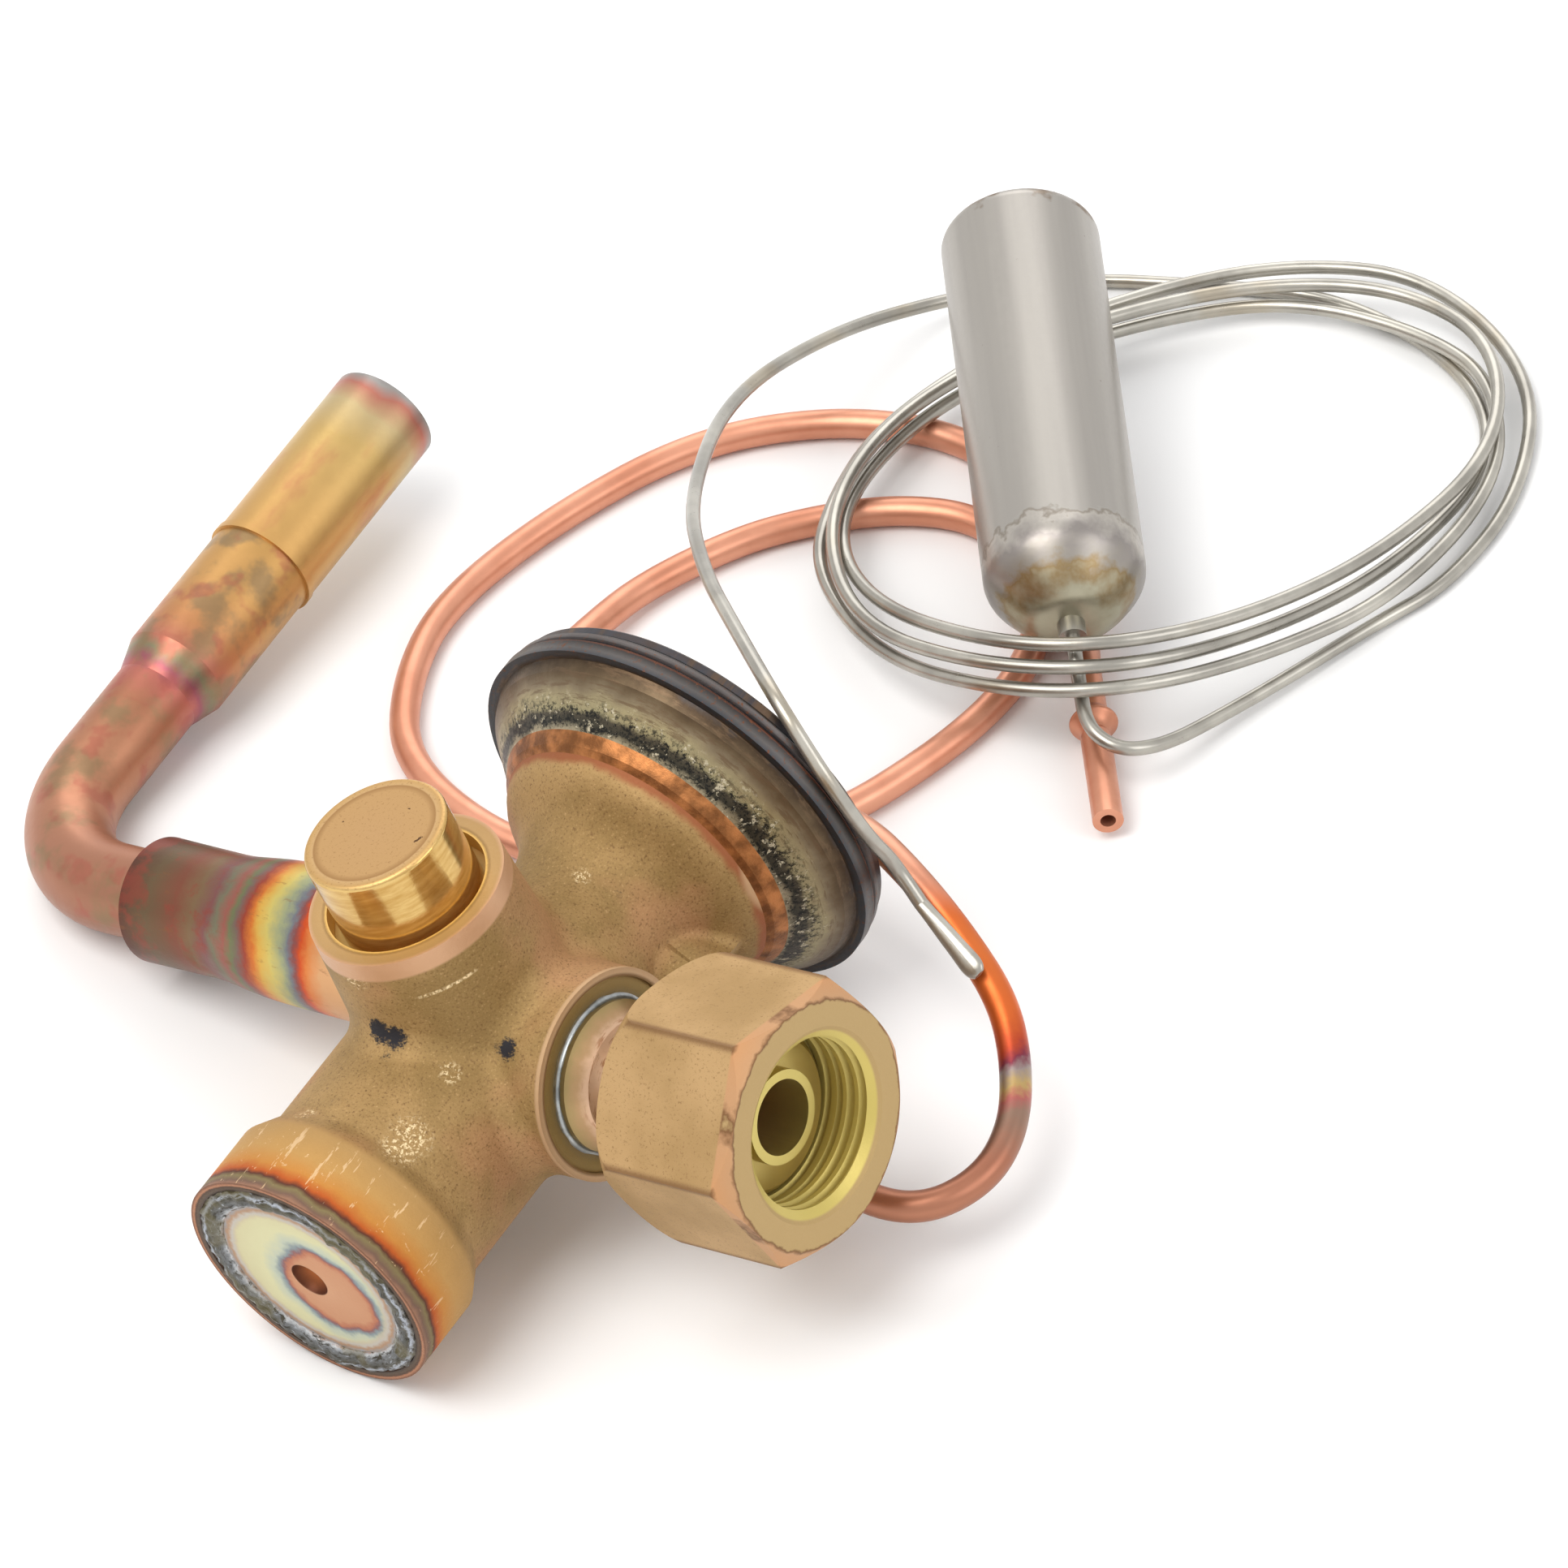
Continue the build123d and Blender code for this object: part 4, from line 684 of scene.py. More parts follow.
def plug_metal():
    """Pale heat-tinted plug with a copper zone round its dimple, and painted shade in the dimple."""
    finish = Finish("plug_metal", metallic=0.6, roughness=0.5)
    mm = finish.along(VALVE)
    fine = finish.math("MULTIPLY", finish.noise(mm, 1.2, 4.0), 0.9)
    wander = finish.math("MULTIPLY_ADD", finish.noise(mm, 0.22, 3.0), 3.0, fine)
    shifted = finish.node("ShaderNodeVectorMath", operation="SUBTRACT")
    finish.feed(shifted.inputs[0], mm)
    shifted.inputs[1].default_value = COPPER_ZONE
    reach = finish.math("ADD", finish.radius(shifted.outputs[0]), wander)
    colour = finish.bands(
        reach,
        (2.0, 198, 148, 112), (6.6, 192, 138, 102), (7.4, 176, 108, 78), (7.8, 130, 88, 88),
        (8.2, 126, 138, 142), (9.0, 182, 188, 168), (10.4, 204, 200, 158), (14.0, 198, 190, 150),
    )
    radius = finish.radius(mm)
    rim = finish.bands(
        finish.math("ADD", radius, fine),
        (9.6, 190, 176, 148), (10.1, 184, 178, 168), (10.6, 170, 134, 104), (11.1, 150, 150, 150),
        (11.6, 176, 180, 184),
    )
    colour = finish.mix(finish.between(finish.math("ADD", radius, fine), 9.2, 10.0), colour, rim)
    # Dimple: brown copper that darkens towards its wall at radius 2.2, partly its own colour and partly
    # painted shade in the hollow
    dimple_copper_and_painted_shade = finish.bands(
        radius,
        (0.0, 190, 116, 62), (1.2, 160, 90, 46), (2.2, 88, 48, 30),
    )
    colour = finish.mix(finish.between(radius, 2.3, 2.15), colour, dimple_copper_and_painted_shade)
    finish.colour(colour)
    finish.bump(finish.noise(mm, 2.2, 4.0), 0.05, 0.5)
    return finish


def outlet_copper():
    """Copper of the outlet, with the rainbow of bands that brazing leaves, by distance along it."""
    finish = Finish("outlet_copper", metallic=0.75, roughness=0.4)
    mm = finish.along(OUTLET_PLACE)
    wander = finish.math("MULTIPLY", finish.noise(mm, 0.12, 3.0), 4.0)
    fine = finish.math("MULTIPLY", finish.noise(mm, 0.9, 4.0, 0.65), 1.6)
    along = finish.math("ADD", finish.math("ADD", finish.split(mm)[2], wander), fine)
    colour = finish.bands(
        along,
        (19.0, 208, 166, 120), (26.4, 206, 156, 110), (28.6, 208, 124, 66), (29.8, 196, 76, 34),
        (30.7, 132, 74, 70), (31.5, 112, 116, 122), (32.5, 150, 154, 118), (34.2, 198, 180, 100),
        (35.8, 206, 160, 74), (37.0, 200, 112, 48), (38.3, 146, 62, 46), (39.4, 116, 92, 84),
        (40.2, 106, 112, 78), (41.3, 148, 86, 76), (42.8, 112, 110, 88), (44.2, 122, 78, 76),
        (46.4, 120, 96, 70), (49.0, 122, 74, 58), (53.0, 102, 84, 62), (57.0, 92, 58, 48),
    )
    marks = finish.noise(finish.stretch(mm, (1, 1, 0.3)), 0.9, 5.0, 0.7)
    worn = finish.math("MULTIPLY", finish.between(marks, 0.58, 0.68), 0.4)
    colour = finish.mix(worn, colour, tone(128, 84, 54))
    cloud = finish.between(finish.noise(mm, 0.22, 5.0, 0.65), 0.50, 0.62)
    cloud = finish.math("MULTIPLY", cloud, finish.between(along, 40.0, 44.0))
    colour = finish.mix(finish.math("MULTIPLY", cloud, 0.6), colour, tone(138, 66, 54))
    finish.colour(colour)
    finish.gloss(marks, 0.38, 0.2)
    dent = finish.spot(finish.along(VALVE), SOCKET_DENT, 0.6, 2.6)
    height = finish.math("MULTIPLY_ADD", dent, -6.0, finish.noise(mm, 1.2, 4.0))
    finish.bump(height, 0.05, 0.45)
    return finish


def elbow_copper():
    """Bent tube: brown salmon, tinted where it was swaged, brassy above."""
    finish = Finish("elbow_copper", metallic=0.75, roughness=0.38)
    mm = finish.along(LEG_PLACE)
    wander = finish.math("MULTIPLY", finish.noise(mm, 0.1, 3.0), 5.0)
    fine = finish.math("MULTIPLY", finish.noise(mm, 0.8, 4.0, 0.65), 1.5)
    along = finish.math("ADD", finish.math("ADD", finish.split(mm)[2], wander), fine)
    colour = finish.bands(
        along,
        (-6.0, 150, 104, 84), (4.0, 166, 116, 92), (12.0, 178, 124, 96), (20.0, 172, 120, 92),
        (26.0, 164, 110, 84), (29.0, 178, 104, 92), (30.4, 150, 84, 96), (31.8, 128, 124, 96),
        (33.4, 176, 112, 92), (37.0, 184, 128, 86), (43.0, 192, 146, 90), (54.0, 188, 146, 86),
    )
    patches = finish.noise(mm, 0.16, 4.0)
    share = finish.math("MULTIPLY", finish.between(patches, 0.48, 0.64), 0.75)
    colour = finish.mix(share, colour, tone(134, 112, 82))
    rosy = finish.between(finish.noise(mm, 0.2, 3.0), 0.54, 0.66)
    finish.colour(finish.mix(finish.math("MULTIPLY", rosy, 0.5), colour, tone(160, 84, 72)))
    finish.gloss(finish.noise(mm, 0.6, 3.0), 0.38, 0.2)
    finish.bump(finish.noise(mm, 1.0, 4.0), 0.04, 0.45)
    return finish


def end_tube_copper():
    """Brassy end tube with a grey and red tint at its open rim."""
    finish = Finish("end_tube_copper", metallic=0.75, roughness=0.36)
    mm = finish.along(LEG_PLACE)
    wander = finish.math("MULTIPLY", finish.noise(mm, 0.12, 3.0), 4.0)
    along = finish.math("ADD", finish.split(mm)[2], wander)
    colour = finish.bands(
        along,
        (46.0, 196, 150, 90), (58.0, 198, 158, 98), (66.0, 194, 162, 102), (70.0, 190, 168, 124),
        (72.6, 176, 112, 96), (74.0, 150, 146, 142), (76.0, 124, 116, 120),
    )
    patches = finish.noise(finish.stretch(mm, (1, 1, 0.4)), 0.14, 4.0)
    share = finish.math("MULTIPLY", finish.between(patches, 0.54, 0.72), 0.8)
    finish.colour(finish.mix(share, colour, tone(184, 118, 88)))
    finish.gloss(finish.noise(mm, 0.6, 3.0), 0.36, 0.2)
    finish.bump(finish.noise(mm, 1.0, 4.0), 0.04, 0.45)
    return finish


def head_steel():
    """Stainless pressings, tinted in rings by the brazing and the rim weld."""
    finish = Finish("head_steel", metallic=0.75, roughness=0.4)
    mm = finish.along(HEAD_PLACE)
    wander = finish.math("MULTIPLY", finish.noise(mm, 0.3, 4.0), 1.6)
    radius = finish.math("ADD", finish.radius(mm), wander)
    rings = finish.bands(
        radius,
        (17.4, 150, 112, 76), (18.0, 176, 162, 136), (18.6, 150, 140, 116), (19.1, 60, 58, 50),
        (19.8, 78, 72, 60), (20.2, 156, 146, 112), (21.0, 160, 148, 114), (21.9, 126, 112, 90),
        (22.6, 98, 82, 62), (23.3, 70, 56, 42), (24.0, 66, 70, 76), (24.6, 56, 54, 54),
    )
    streaks = finish.noise(finish.round_axis(mm, 5.0, 2.2), 1.0, 5.0, 0.7)
    smudge = finish.math("MULTIPLY", finish.between(streaks, 0.50, 0.62), finish.between(radius, 20.0, 21.0))
    colour = finish.mix(finish.math("MULTIPLY", smudge, 0.7), rings, tone(104, 84, 64))
    soot = finish.noise(mm, 1.7, 6.0, 0.8)
    zone = finish.math("MULTIPLY", finish.between(radius, 18.2, 18.9), finish.between(radius, 21.4, 20.0))
    patch = finish.math("MULTIPLY", finish.between(soot, 0.48, 0.56), zone)
    colour = finish.mix(patch, colour, tone(34, 34, 32))
    crust = finish.noise(mm, 0.9, 6.0, 0.75)
    zone = finish.math("MULTIPLY", finish.between(radius, 17.6, 18.2), finish.between(radius, 21.8, 20.4))
    flecks = finish.math("MULTIPLY", finish.between(crust, 0.58, 0.62), zone)
    colour = finish.mix(flecks, colour, tone(196, 186, 160))
    height = finish.math("MULTIPLY_ADD", streaks, 0.5, finish.split(mm)[2])
    lips = finish.bands(
        height,
        (34.4, 62, 66, 72), (35.2, 92, 88, 86), (36.0, 60, 56, 54), (36.3, 112, 62, 40),
        (36.6, 52, 48, 48), (37.3, 104, 98, 96), (37.9, 58, 54, 52), (38.3, 126, 72, 44),
        (39.0, 84, 66, 54),
    )
    lips = finish.mix(finish.between(soot, 0.56, 0.64), lips, tone(112, 70, 46))
    colour = finish.mix(finish.between(finish.radius(mm), 22.9, 23.5), colour, lips)
    finish.colour(colour)
    finish.gloss(soot, 0.42, 0.35)
    height = finish.math("ADD", soot, finish.math("MULTIPLY", flecks, 1.5))
    finish.bump(height, 0.05, 0.5)
    return finish


def equaliser_copper():
    """Bright drawn copper, burnt in colours where the capillary tube was brazed to it."""
    finish = Finish("equaliser_copper", metallic=0.7, roughness=0.4)
    mm = finish.along(BENCH)
    colour = finish.mottled(mm, tone(200, 134, 106), tone(216, 152, 124), 0.12)
    wander = finish.noise(mm, 0.25, 3.0)
    fine = finish.math("MULTIPLY", finish.noise(mm, 1.0, 4.0, 0.65), 1.6)
    heat = finish.node("ShaderNodeVectorMath", operation="DISTANCE")
    finish.feed(heat.inputs[0], mm)
    heat.inputs[1].default_value = TONGUE_HEAT
    reach = finish.math("ADD", heat.outputs["Value"], finish.math("MULTIPLY_ADD", wander, 3.0, fine))
    burnt = finish.bands(
        reach,
        (0.0, 206, 112, 56), (10.5, 204, 98, 46), (14.0, 176, 70, 42), (15.6, 120, 50, 66),
        (17.0, 146, 132, 128), (18.4, 178, 150, 96), (20.0, 170, 96, 90), (22.0, 140, 112, 96),
        (27.0, 158, 104, 82), (36.0, 176, 120, 94), (46.0, 204, 140, 112),
    )
    near_side = finish.split(mm)[1]
    share = finish.between(reach, 46.0, 36.0)
    share = finish.math("MULTIPLY", share, finish.between(near_side, 14.0, 8.0))
    finish.colour(finish.mix(share, colour, burnt))
    finish.gloss(finish.noise(mm, 0.5, 3.0), 0.38, 0.16)
    finish.bump(finish.noise(mm, 1.5, 4.0), 0.02, 0.4)
    return finish


def drawn_steel(name, dark, light, place):
    """Stainless tube, clean with faint brown patches."""
    finish = Finish(name, metallic=0.85, roughness=0.3)
    mm = finish.along(place)
    colour = finish.mottled(mm, dark, light, 0.1)
    brown = finish.between(finish.noise(mm, 0.06, 3.0), 0.54, 0.68)
    finish.colour(finish.mix(finish.math("MULTIPLY", brown, 0.5), colour, tone(160, 144, 118)))
    finish.gloss(finish.noise(mm, 0.8, 3.0), 0.3, 0.14)
    finish.bump(finish.noise(mm, 3.0, 3.0), 0.008, 0.4)
    return finish


def bulb_steel():
    """Satin drawn stainless, brown with heat at both ends."""
    finish = Finish("bulb_steel", metallic=0.85, roughness=0.36)
    mm = finish.along(bulb_place())
    lines = finish.noise(finish.stretch(mm, (1.0, 1.0, 0.04)), 0.35, 3.0, 0.5)
    colour = finish.mix(finish.between(lines, 0.2, 0.8), tone(158, 153, 147), tone(170, 165, 158))
    dust = finish.between(finish.noise(mm, 0.9, 5.0, 0.7), 0.70, 0.76)
    colour = finish.mix(finish.math("MULTIPLY", dust, 0.6), colour, tone(96, 84, 72))
    along = finish.split(mm)[2]
    wander = finish.math("MULTIPLY_ADD", finish.noise(mm, 0.4, 3.0), 6.0, along)
    domed = finish.bands(
        wander,
        (51.0, 168, 164, 157), (51.6, 140, 132, 122), (52.2, 176, 170, 162), (54.4, 142, 136, 132),
        (56.4, 148, 142, 134), (57.6, 140, 120, 88), (59.4, 164, 158, 136), (61.0, 176, 170, 148),
    )
    colour = finish.mix(finish.between(wander, 50.8, 51.2), colour, domed)
    rim = finish.between(wander, 4.6, 3.2)
    colour = finish.mix(rim, colour, tone(116, 98, 80))
    end = finish.between(along, 0.06, 0.02)
    finish.colour(finish.mix(end, colour, tone(92, 80, 70)))
    specks = finish.noise(mm, 1.6, 5.0, 0.7)
    finish.gloss(specks, 0.36, 0.2)
    finish.bump(specks, 0.02, 0.3)
    return finish


def packing():
    """Black seal."""
    finish = Finish("packing", metallic=0.0, roughness=0.7)
    mm = finish.along(VALVE)
    finish.colour(finish.mottled(mm, tone(26, 26, 26), tone(44, 42, 40), 1.0))
    finish.bump(finish.noise(mm, 5.0), 0.03, 0.5)
    return finish


def weld_shape(radius, height, angle):
    """Lumps and ripples on the weld round the bottom plug."""
    spot = Vector((math.cos(angle) * radius, math.sin(angle) * radius, height))
    if radius in (WELD_IN, WELD_OUT) and height > -BASE_DROP:
        return radius, height
    lumps = noise.noise(spot * 0.45) * 0.35 + noise.noise(spot * 1.6) * 0.16
    ripple = 0.07 * math.sin(angle * 46 + radius * 1.3)
    return radius + noise.noise(spot * 0.7) * 0.25, height - lumps - ripple


def weld_profile():
    """Outline of the weld bead, crowned a little below the plug and the collar."""
    crown = []
    steps = 14
    for step in range(steps + 1):
        share = step / steps
        radius = WELD_IN + (WELD_OUT - WELD_IN) * share
        height = -BASE_DROP + 0.3 * (1 - share) - 0.45 * math.sin(math.pi * share)
        crown.append((radius, height))
    return [(WELD_OUT, WELD_ROOT), (WELD_IN, WELD_ROOT)] + crown


def fillet_shape(seed, size):
    """Uneven edge for a ring of braze."""
    def shape(radius, height, angle):
        spot = Vector((math.cos(angle) * radius * 0.5, math.sin(angle) * radius * 0.5, seed))
        shift = noise.noise(spot) * size
        return radius + shift, height + shift * 0.6
    return shape


def fillet_profile(radius, start, size):
    """Outline of a hollow-faced fillet of braze in the corner between a tube and a face."""
    outline = [(radius - 0.05, start - 0.05)]
    steps = 8
    for step in range(steps + 1):
        turn = math.pi / 2 * step / steps
        outline.append((radius + size * (1 - math.sin(turn)), start + size * (1 - math.cos(turn))))
    return outline


def thread_cutter(place, crest, root, start, end, pitch):
    """Closed helix of a 60 degree groove, to be cut out of a bore."""
    mesh = bpy.data.meshes.new("thread_cutter")
    form = bmesh.new()
    inner = crest - 0.3
    half_root = pitch / 16
    half_mouth = half_root + (root - inner) * math.tan(math.radians(30))
    outline = [(inner, -half_mouth), (root, -half_root), (root, half_root), (inner, half_mouth)]
    per_turn = 72
    sections = []
    for step in range(int((end - start) / pitch * per_turn) + 1):
        angle = math.tau * step / per_turn
        middle = start + pitch * step / per_turn
        section = []
        for radius, offset in outline:
            spot = Vector((radius * math.cos(angle), radius * math.sin(angle), middle + offset))
            section.append(form.verts.new(place @ spot))
        sections.append(section)
    for section, following in zip(sections, sections[1:]):
        for here in range(4):
            after = (here + 1) % 4
            form.faces.new((section[here], following[here], following[after], section[after]))
    form.faces.new(sections[0])
    form.faces.new(list(reversed(sections[-1])))
    bmesh.ops.recalc_face_normals(form, faces=form.faces)
    form.to_mesh(mesh)
    form.free()
    return mesh


def cut(mesh, cutter):
    """Mesh with a cutter's form taken out of it."""
    collection = bpy.context.scene.collection
    target = bpy.data.objects.new("target", mesh)
    tool = bpy.data.objects.new("tool", cutter)
    collection.objects.link(target)
    collection.objects.link(tool)
    modifier = target.modifiers.new("cut", "BOOLEAN")
    modifier.operation = "DIFFERENCE"
    modifier.solver = "EXACT"
    modifier.object = tool
    result = settled(target)
    bpy.data.objects.remove(target)
    bpy.data.objects.remove(tool)
    return result


def spring_tree(material):
    """Node tree for a coil spring: a spiral path with a round wire on it."""
    tree = bpy.data.node_groups.new("coil_spring", "GeometryNodeTree")
    sizes = [
        ("Coils", 6.0), ("Coil radius", SPRING_R), ("Height", SPRING_HEIGHT),
        ("Wire radius", SPRING_WIRE_R),
    ]
    for label, value in sizes:
        socket = tree.interface.new_socket(label, in_out="INPUT", socket_type="NodeSocketFloat")
        socket.default_value = value
    tree.interface.new_socket("Geometry", in_out="OUTPUT", socket_type="NodeSocketGeometry")
    nodes, links = tree.nodes, tree.links
    given = nodes.new("NodeGroupInput").outputs
    spiral = nodes.new("GeometryNodeCurveSpiral")
    spiral.inputs["Resolution"].default_value = 28
    links.new(given["Coils"], spiral.inputs["Rotations"])
    links.new(given["Coil radius"], spiral.inputs["Start Radius"])
    links.new(given["Coil radius"], spiral.inputs["End Radius"])
    links.new(given["Height"], spiral.inputs["Height"])
    wire = nodes.new("GeometryNodeCurvePrimitiveCircle")
    wire.inputs["Resolution"].default_value = 14
    links.new(given["Wire radius"], wire.inputs["Radius"])
    swept = nodes.new("GeometryNodeCurveToMesh")
    swept.inputs["Fill Caps"].default_value = True
    links.new(spiral.outputs["Curve"], swept.inputs["Curve"])
    links.new(wire.outputs["Curve"], swept.inputs["Profile Curve"])
    real = nodes.new("GeometryNodeRealizeInstances")
    links.new(swept.outputs["Mesh"], real.inputs["Geometry"])
    finished = nodes.new("GeometryNodeSetMaterial")
    finished.inputs["Material"].default_value = material
    links.new(real.outputs["Geometry"], finished.inputs["Geometry"])
    links.new(finished.outputs["Geometry"], nodes.new("NodeGroupOutput").inputs["Geometry"])
    return tree


def grown(name, tree, values):
    """Mesh that a node tree grows from named sizes."""
    holder = bpy.data.objects.new(name, bpy.data.meshes.new(name))
    bpy.context.scene.collection.objects.link(holder)
    modifier = holder.modifiers.new("grow", "NODES")
    modifier.node_group = tree
    for item in tree.interface.items_tree:
        if item.in_out == "INPUT" and item.name in values:
            modifier[item.identifier] = values[item.name]
    holder.update_tag()
    mesh = settled(holder)
    holder.modifiers.clear()
    bpy.data.objects.remove(holder)
    mesh.name = name
    return mesh


class ValveSizes(bpy.types.PropertyGroup):
    """Sizes that the frame leaves to the dressing."""
    thread_pitch: bpy.props.FloatProperty(
        name="Thread pitch", description="Pitch of the union nut's thread in mm",
        default=1.5875, min=0.8, max=3.0,
    )
    thread_root: bpy.props.FloatProperty(
        name="Thread root", description="Radius at the bottom of the union nut's thread in mm",
        default=9.55, min=9.0, max=10.5,
    )
    spring_coils: bpy.props.FloatProperty(
        name="Spring coils", description="Turns of the superheat spring", default=6.0, min=3, max=9,
    )


class ValveColours(bpy.types.PropertyGroup):
    """Main colours of the metals."""
    nut_light: bpy.props.FloatVectorProperty(
        name="Union nut", description="Light tone of the union nut", subtype="COLOR", size=4,
        default=tone(184, 150, 104), min=0, max=1,
    )
    steel_light: bpy.props.FloatVectorProperty(
        name="Capillary steel", description="Light tone of the capillary tube", subtype="COLOR",
        size=4, default=tone(184, 180, 170), min=0, max=1,
    )


class StageSettings(bpy.types.PropertyGroup):
    """Light on the bench."""
    key_power: bpy.props.FloatProperty(
        name="Key light", description="Power of the large light above", default=7.0,
        min=0, unit="POWER",
    )
    room: bpy.props.FloatProperty(
        name="Room light", description="Strength of the light from all round", default=0.72,
        min=0, max=2,
    )


class VALVE_OT_tubes(bpy.types.Operator):
    """Lay the equaliser tube and the capillary tube on the bench"""
    bl_idname = "valve.tubes"
    bl_label = "Tubes"

    def execute(self, context):
        place = BENCH.inverted() @ EQUALISER_PLACE
        start = place @ Vector((0, 0, EQUALISER_REACH))
        way_out = place.to_3x3() @ Vector((0, 0, 1))
        corners = tube_corners(
            start, way_out, EQUALISER_ROUTE, EQUALISER_END_WAY, EQUALISER_END
        )
        copper = equaliser_copper()
        dress(copper, "equaliser_end")
        equaliser = tube("equaliser_line", corners, EQUALISER_R, copper)
        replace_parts(equaliser, "equaliser_tube")
        steel = drawn_steel(
            "capillary_steel", tone(150, 146, 138), tuple(context.scene.valve_colours.steel_light),
            BENCH,
        )
        dress(steel, "capillary_tongue", "bulb_nipple", "charge_spigot")
        nipple = Vector(BULB_FAR) + Vector(BULB_WAY).normalized() * BULB_REACH
        corners = tube_corners(nipple, BULB_WAY, CAPILLARY_ROUTE, TONGUE_WAY_IN, TONGUE_START)
        corners.reverse()
        capillary = tube("capillary_line", corners, CAPILLARY_R, steel)
        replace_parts(capillary, "capillary_tube")
        return {"FINISHED"}


class VALVE_OT_bulb(bpy.types.Operator):
    """Finish the sensing bulb"""
    bl_idname = "valve.bulb"
    bl_label = "Sensing bulb"

    def execute(self, context):
        dress(bulb_steel(), "sensing_bulb")
        return {"FINISHED"}


class VALVE_OT_body(bpy.types.Operator):
    """Finish the forged body, its bottom plug and the weld round it"""
    bl_idname = "valve.body"
    bl_label = "Body"

    def execute(self, context):
        mesh = evened(merged_copy("body_forging", "valve_body"), 32)
        forging = add_piece("body_forging", mesh, "valve", forged_brass())
        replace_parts(forging, "valve_body")
        dress(plug_metal(), "bottom_plug")
        mesh = turned("bottom_weld", VALVE, weld_profile(), 360, weld_shape)
        weld = add_piece("bottom_weld", mesh, "valve", rough_weld())
        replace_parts(weld, "bottom_weld_ring")
        return {"FINISHED"}


class VALVE_OT_inlet(bpy.types.Operator):
    """Finish the inlet stub and cut the thread in its union nut"""
    bl_idname = "valve.inlet"
    bl_label = "Inlet"

    def execute(self, context):
        sizes = context.scene.valve_sizes
        light = tuple(context.scene.valve_colours.nut_light)
        dress(stub_brass(), "inlet_stub")
        gauze = plain_metal("gauze_brass", tone(150, 126, 70), tone(190, 164, 98), 2.0, 0.45, 0.1)
        dress(gauze, "inlet_strainer")
        silver = plain_metal("silver_braze", tone(136, 140, 140), tone(176, 180, 180), 0.6, 0.35)
        ring = turned(
            "inlet_braze", INLET_PLACE, fillet_profile(*INLET_FILLET), 180, fillet_shape(3.1, 0.05)
        )
        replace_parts(add_piece("inlet_braze", ring, "valve", silver), "inlet_braze_ring")
        cutter = thread_cutter(
            INLET_PLACE, THREAD_CREST, sizes.thread_root, THREAD_START, THREAD_END, sizes.thread_pitch
        )
        mesh = evened(cut(merged_copy("union_nut", "inlet_nut"), cutter), 24)
        nut = add_piece("union_nut", mesh, "nut", nut_brass(light))
        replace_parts(nut, "inlet_nut")
        return {"FINISHED"}


class VALVE_OT_spindle(bpy.types.Operator):
    """Finish the spindle, its packing and its cap"""
    bl_idname = "valve.spindle"
    bl_label = "Spindle and cap"

    def execute(self, context):
        dress(cap_brass(), "spindle_cap")
        inner = machined_brass(
            "inner_brass", tone(176, 140, 80), tone(208, 174, 108), CAP_PLACE, 0.3, 4.0
        )
        dress(inner, "adjusting_spindle", "spindle_gland_nut")
        dress(packing(), "spindle_seal_ring", "rod_gland")
        return {"FINISHED"}


class VALVE_OT_outlet(bpy.types.Operator):
    """Finish the outlet socket, elbow and end tube"""
    bl_idname = "valve.outlet"
    bl_label = "Outlet"

    def execute(self, context):
        dress(outlet_copper(), "outlet_socket")
        dress(elbow_copper(), "outlet_elbow")
        dress(end_tube_copper(), "outlet_end_tube")
        braze = plain_metal("copper_braze", tone(150, 92, 62), tone(190, 128, 86), 0.5, 0.42, 0.05)
        ring = turned(
            "outlet_braze", OUTLET_PLACE, fillet_profile(*OUTLET_FILLET), 160,
            fillet_shape(7.7, 0.15),
        )
        piece = add_piece("outlet_braze", ring, "valve", braze)
        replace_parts(piece, "outlet_braze_ring")
        return {"FINISHED"}


class VALVE_OT_head(bpy.types.Operator):
    """Finish the power head"""
    bl_idname = "valve.head"
    bl_label = "Power head"

    def execute(self, context):
        dress(head_steel(), "head_lower_cup", "diaphragm_clamp", "head_upper_cover")
        braze = plain_metal("head_braze", tone(118, 78, 50), tone(186, 124, 78), 0.45, 0.42, 0.08)
        dress(braze, "head_braze_ring")
        silver = plain_metal("pale_braze", tone(160, 146, 120), tone(222, 212, 190), 0.5, 0.38, 0.05)
        ring = turned(
            "equaliser_joint", EQUALISER_PLACE, fillet_profile(*EQUALISER_FILLET), 96,
            fillet_shape(1.3, 0.1),
        )
        piece = add_piece("equaliser_joint", ring, "valve", silver)
        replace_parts(piece, "equaliser_braze")
        return {"FINISHED"}


class VALVE_OT_works(bpy.types.Operator):
    """Finish the works inside the body and coil the superheat spring"""
    bl_idname = "valve.works"
    bl_label = "Works"

    def execute(self, context):
        brass = machined_brass(
            "works_brass", tone(176, 142, 84), tone(206, 172, 108), VALVE, 0.32, 3.0
        )
        dress(brass, "orifice_seat", "pressure_pad", "spring_carrier")
        steel = plain_metal("works_steel", tone(128, 128, 130), tone(176, 176, 178), 0.6, 0.28)
        dress(steel, "valve_pin", "push_rod", "diaphragm")
        wire = plain_metal("spring_wire", tone(96, 96, 98), tone(140, 140, 142), 1.0, 0.3)
        sizes = {
            "Coils": context.scene.valve_sizes.spring_coils,
            "Coil radius": SPRING_R, "Height": SPRING_HEIGHT, "Wire radius": SPRING_WIRE_R,
        }
        mesh = grown("coil_spring", spring_tree(wire.material), sizes)
        mesh.transform(VALVE @ Matrix.Translation((0, 0, SPRING_START)))
        smooth(mesh)
        spring = add_piece("coil_spring", mesh, "valve", wire)
        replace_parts(spring, "superheat_spring")
        return {"FINISHED"}


